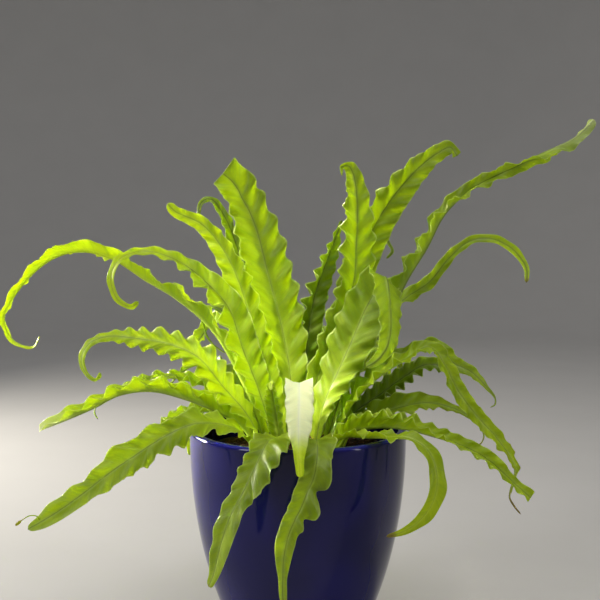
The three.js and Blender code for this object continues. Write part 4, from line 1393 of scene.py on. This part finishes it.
@dataclass(frozen=True)
class Softbox:
    """A lamp with a flat face that is turned to the plant.

    Attributes:
        name: the lamp's name.
        place: where it hangs.
        width: of its face.
        height: of its face.
        power: in watts.
        colour: its tint, in hex digits.
        spread: how wide the grid on its face lets the light out, in degrees.
        aim: the place that it faces.
    """

    name: str
    place: tuple[float, float, float]
    width: float
    height: float
    power: float
    colour: str = "ffffff"
    spread: float = 180
    aim: tuple[float, float, float] = (0, 0, 0.22)

    def hang(self) -> None:
        """Hangs the lamp in the scene."""
        data = bpy.data.lights.new(self.name, "AREA")
        data.spread = math.radians(self.spread)
        data.shape = "RECTANGLE"
        data.size = self.width
        data.size_y = self.height
        data.energy = self.power
        data.color = linear(self.colour)[:3]
        lamp = bpy.data.objects.new(self.name, data)
        lamp.location = self.place
        heading = Vector(self.aim) - Vector(self.place)
        lamp.rotation_euler = heading.to_track_quat("-Z", "Y").to_euler()
        bpy.context.scene.collection.objects.link(lamp)


SOFTBOXES = (
    Softbox("softbox_left_back", (-1.0, 0.62, 0.62), 0.5, 0.6, 18, "fff8ec"),
    Softbox("softbox_left_front", (-1.3, -0.85, 0.9), 0.3, 1.0, 9, "f8f8ff"),
    Softbox("softbox_right_strip", (1.35, -0.7, 0.6), 0.14, 1.0, 3),
    Softbox("softbox_above", (0.1, -0.3, 1.75), 1.0, 1.0, 8),
    Softbox("softbox_gridded", (-0.85, 0.42, 0.42), 0.2, 0.2, 0.8, "fffaf0", spread=20),
    Softbox("softbox_heart", (-0.3, -0.5, 1.15), 0.06, 0.06, 0.07, "fffaf0", spread=9),
)


@dataclass
class Studio:
    """The camera, the lamps and the pale paper that the plant stands on.

    Attributes:
        lens: the camera's focal length in millimetres.
        sensor: the width of its sensor in millimetres.
        camera_place: where the camera stands.
        camera_pitch: how far it looks down, in degrees.
        floor_rings: radii of the flat paper's rings, from the middle out to its bend.
        bend_radius: of the paper's bend from floor to wall.
        wall_height: how high the paper reaches.
        fill: tint of the even light from all round, in hex digits.
        fill_strength: how strong that light is.
    """

    lens: float = 60.0
    sensor: float = 36.0
    camera_place: tuple[float, float, float] = (1.6 * MM, -800 * MM, 332 * MM)
    camera_pitch: float = 4.23
    floor_rings: tuple[float, ...] = (0.05, 0.5, 1.2, 2.2)
    bend_radius: float = 1.3
    bend_rows: int = 14
    wall_height: float = 3.2
    facets: int = 96
    fill: str = "fdfcff"
    fill_strength: float = 0.4

    def place_camera(self) -> None:
        """Puts the camera at the photograph's viewing angle."""
        data = bpy.data.cameras.new("camera")
        data.lens = self.lens
        data.sensor_width = self.sensor
        camera = bpy.data.objects.new("camera", data)
        camera.location = self.camera_place
        camera.rotation_euler = (math.radians(90 - self.camera_pitch), 0, 0)
        bpy.context.scene.collection.objects.link(camera)
        bpy.context.scene.camera = camera
        log.info("camera placed")

    def lay_paper(self) -> None:
        """Lays the paper as a wide floor that bends up all round."""
        rows = [(r, 0.0) for r in self.floor_rings]
        for turn in np.linspace(0, math.pi / 2, self.bend_rows)[1:]:
            rows.append((self.floor_rings[-1] + self.bend_radius * math.sin(turn),
                         self.bend_radius * (1 - math.cos(turn))))
        rows.append((rows[-1][0], self.wall_height))
        turn = -around(self.facets)
        places = np.array([(r * math.cos(a), r * math.sin(a), z) for r, z in rows for a in turn])
        middle = fan(len(places), 0, self.facets)
        paper = make_piece("floor_paper", np.concatenate([places, [[0, 0, 0]]]),
                           ring_quads(len(rows), self.facets)[:, ::-1], middle[:, ::-1])
        paper.data.materials.append(StudioPaper().material())
        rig.stage(paper)

    def light(self) -> None:
        """Lights the plant softly, most from the left, with a narrow beam on its heart."""
        for softbox in SOFTBOXES:
            softbox.hang()
        world = bpy.data.worlds.new("studio")
        world.use_nodes = True
        fill, strength = world.node_tree.nodes["Background"].inputs[:2]
        fill.default_value = linear(self.fill)
        strength.default_value = self.fill_strength
        bpy.context.scene.world = world
        bpy.context.scene.view_settings.view_transform = "Standard"
        log.info("lamps hung")


def main() -> None:
    """Builds the plant from its pot up, then lights it and writes its size."""
    logging.basicConfig(level=logging.INFO, format="%(message)s")
    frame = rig.load()
    cad_low, cad_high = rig.bounds()
    studio = Studio()
    studio.place_camera()

    _, pot_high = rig.box("pot")
    pot = GlazedPot(height=pot_high.z, rim_radius=pot_high.y)
    pot.build()
    mix_low, mix_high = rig.box("potting_mix")
    PottingMix(top=mix_high.z, bottom=mix_low.z, pot=pot).build()
    crown_low, crown_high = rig.box("crown")
    Crown(bottom=crown_low.z, radius=crown_high.y, top=crown_high.z, shoulder=mix_high.z).build()
    foliage = Foliage(crown_point=Vector((0, 0, mix_high.z)), low=cad_low, high=cad_high)
    foliage.gather(frame)
    foliage.build(frame)

    studio.lay_paper()
    studio.light()
    low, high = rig.bounds()
    with open(SIZE_FILE, "w") as file:
        json.dump({"cad": [list(cad_low), list(cad_high)], "visual": [list(low), list(high)]}, file)


if __name__ == "__main__":
    main()
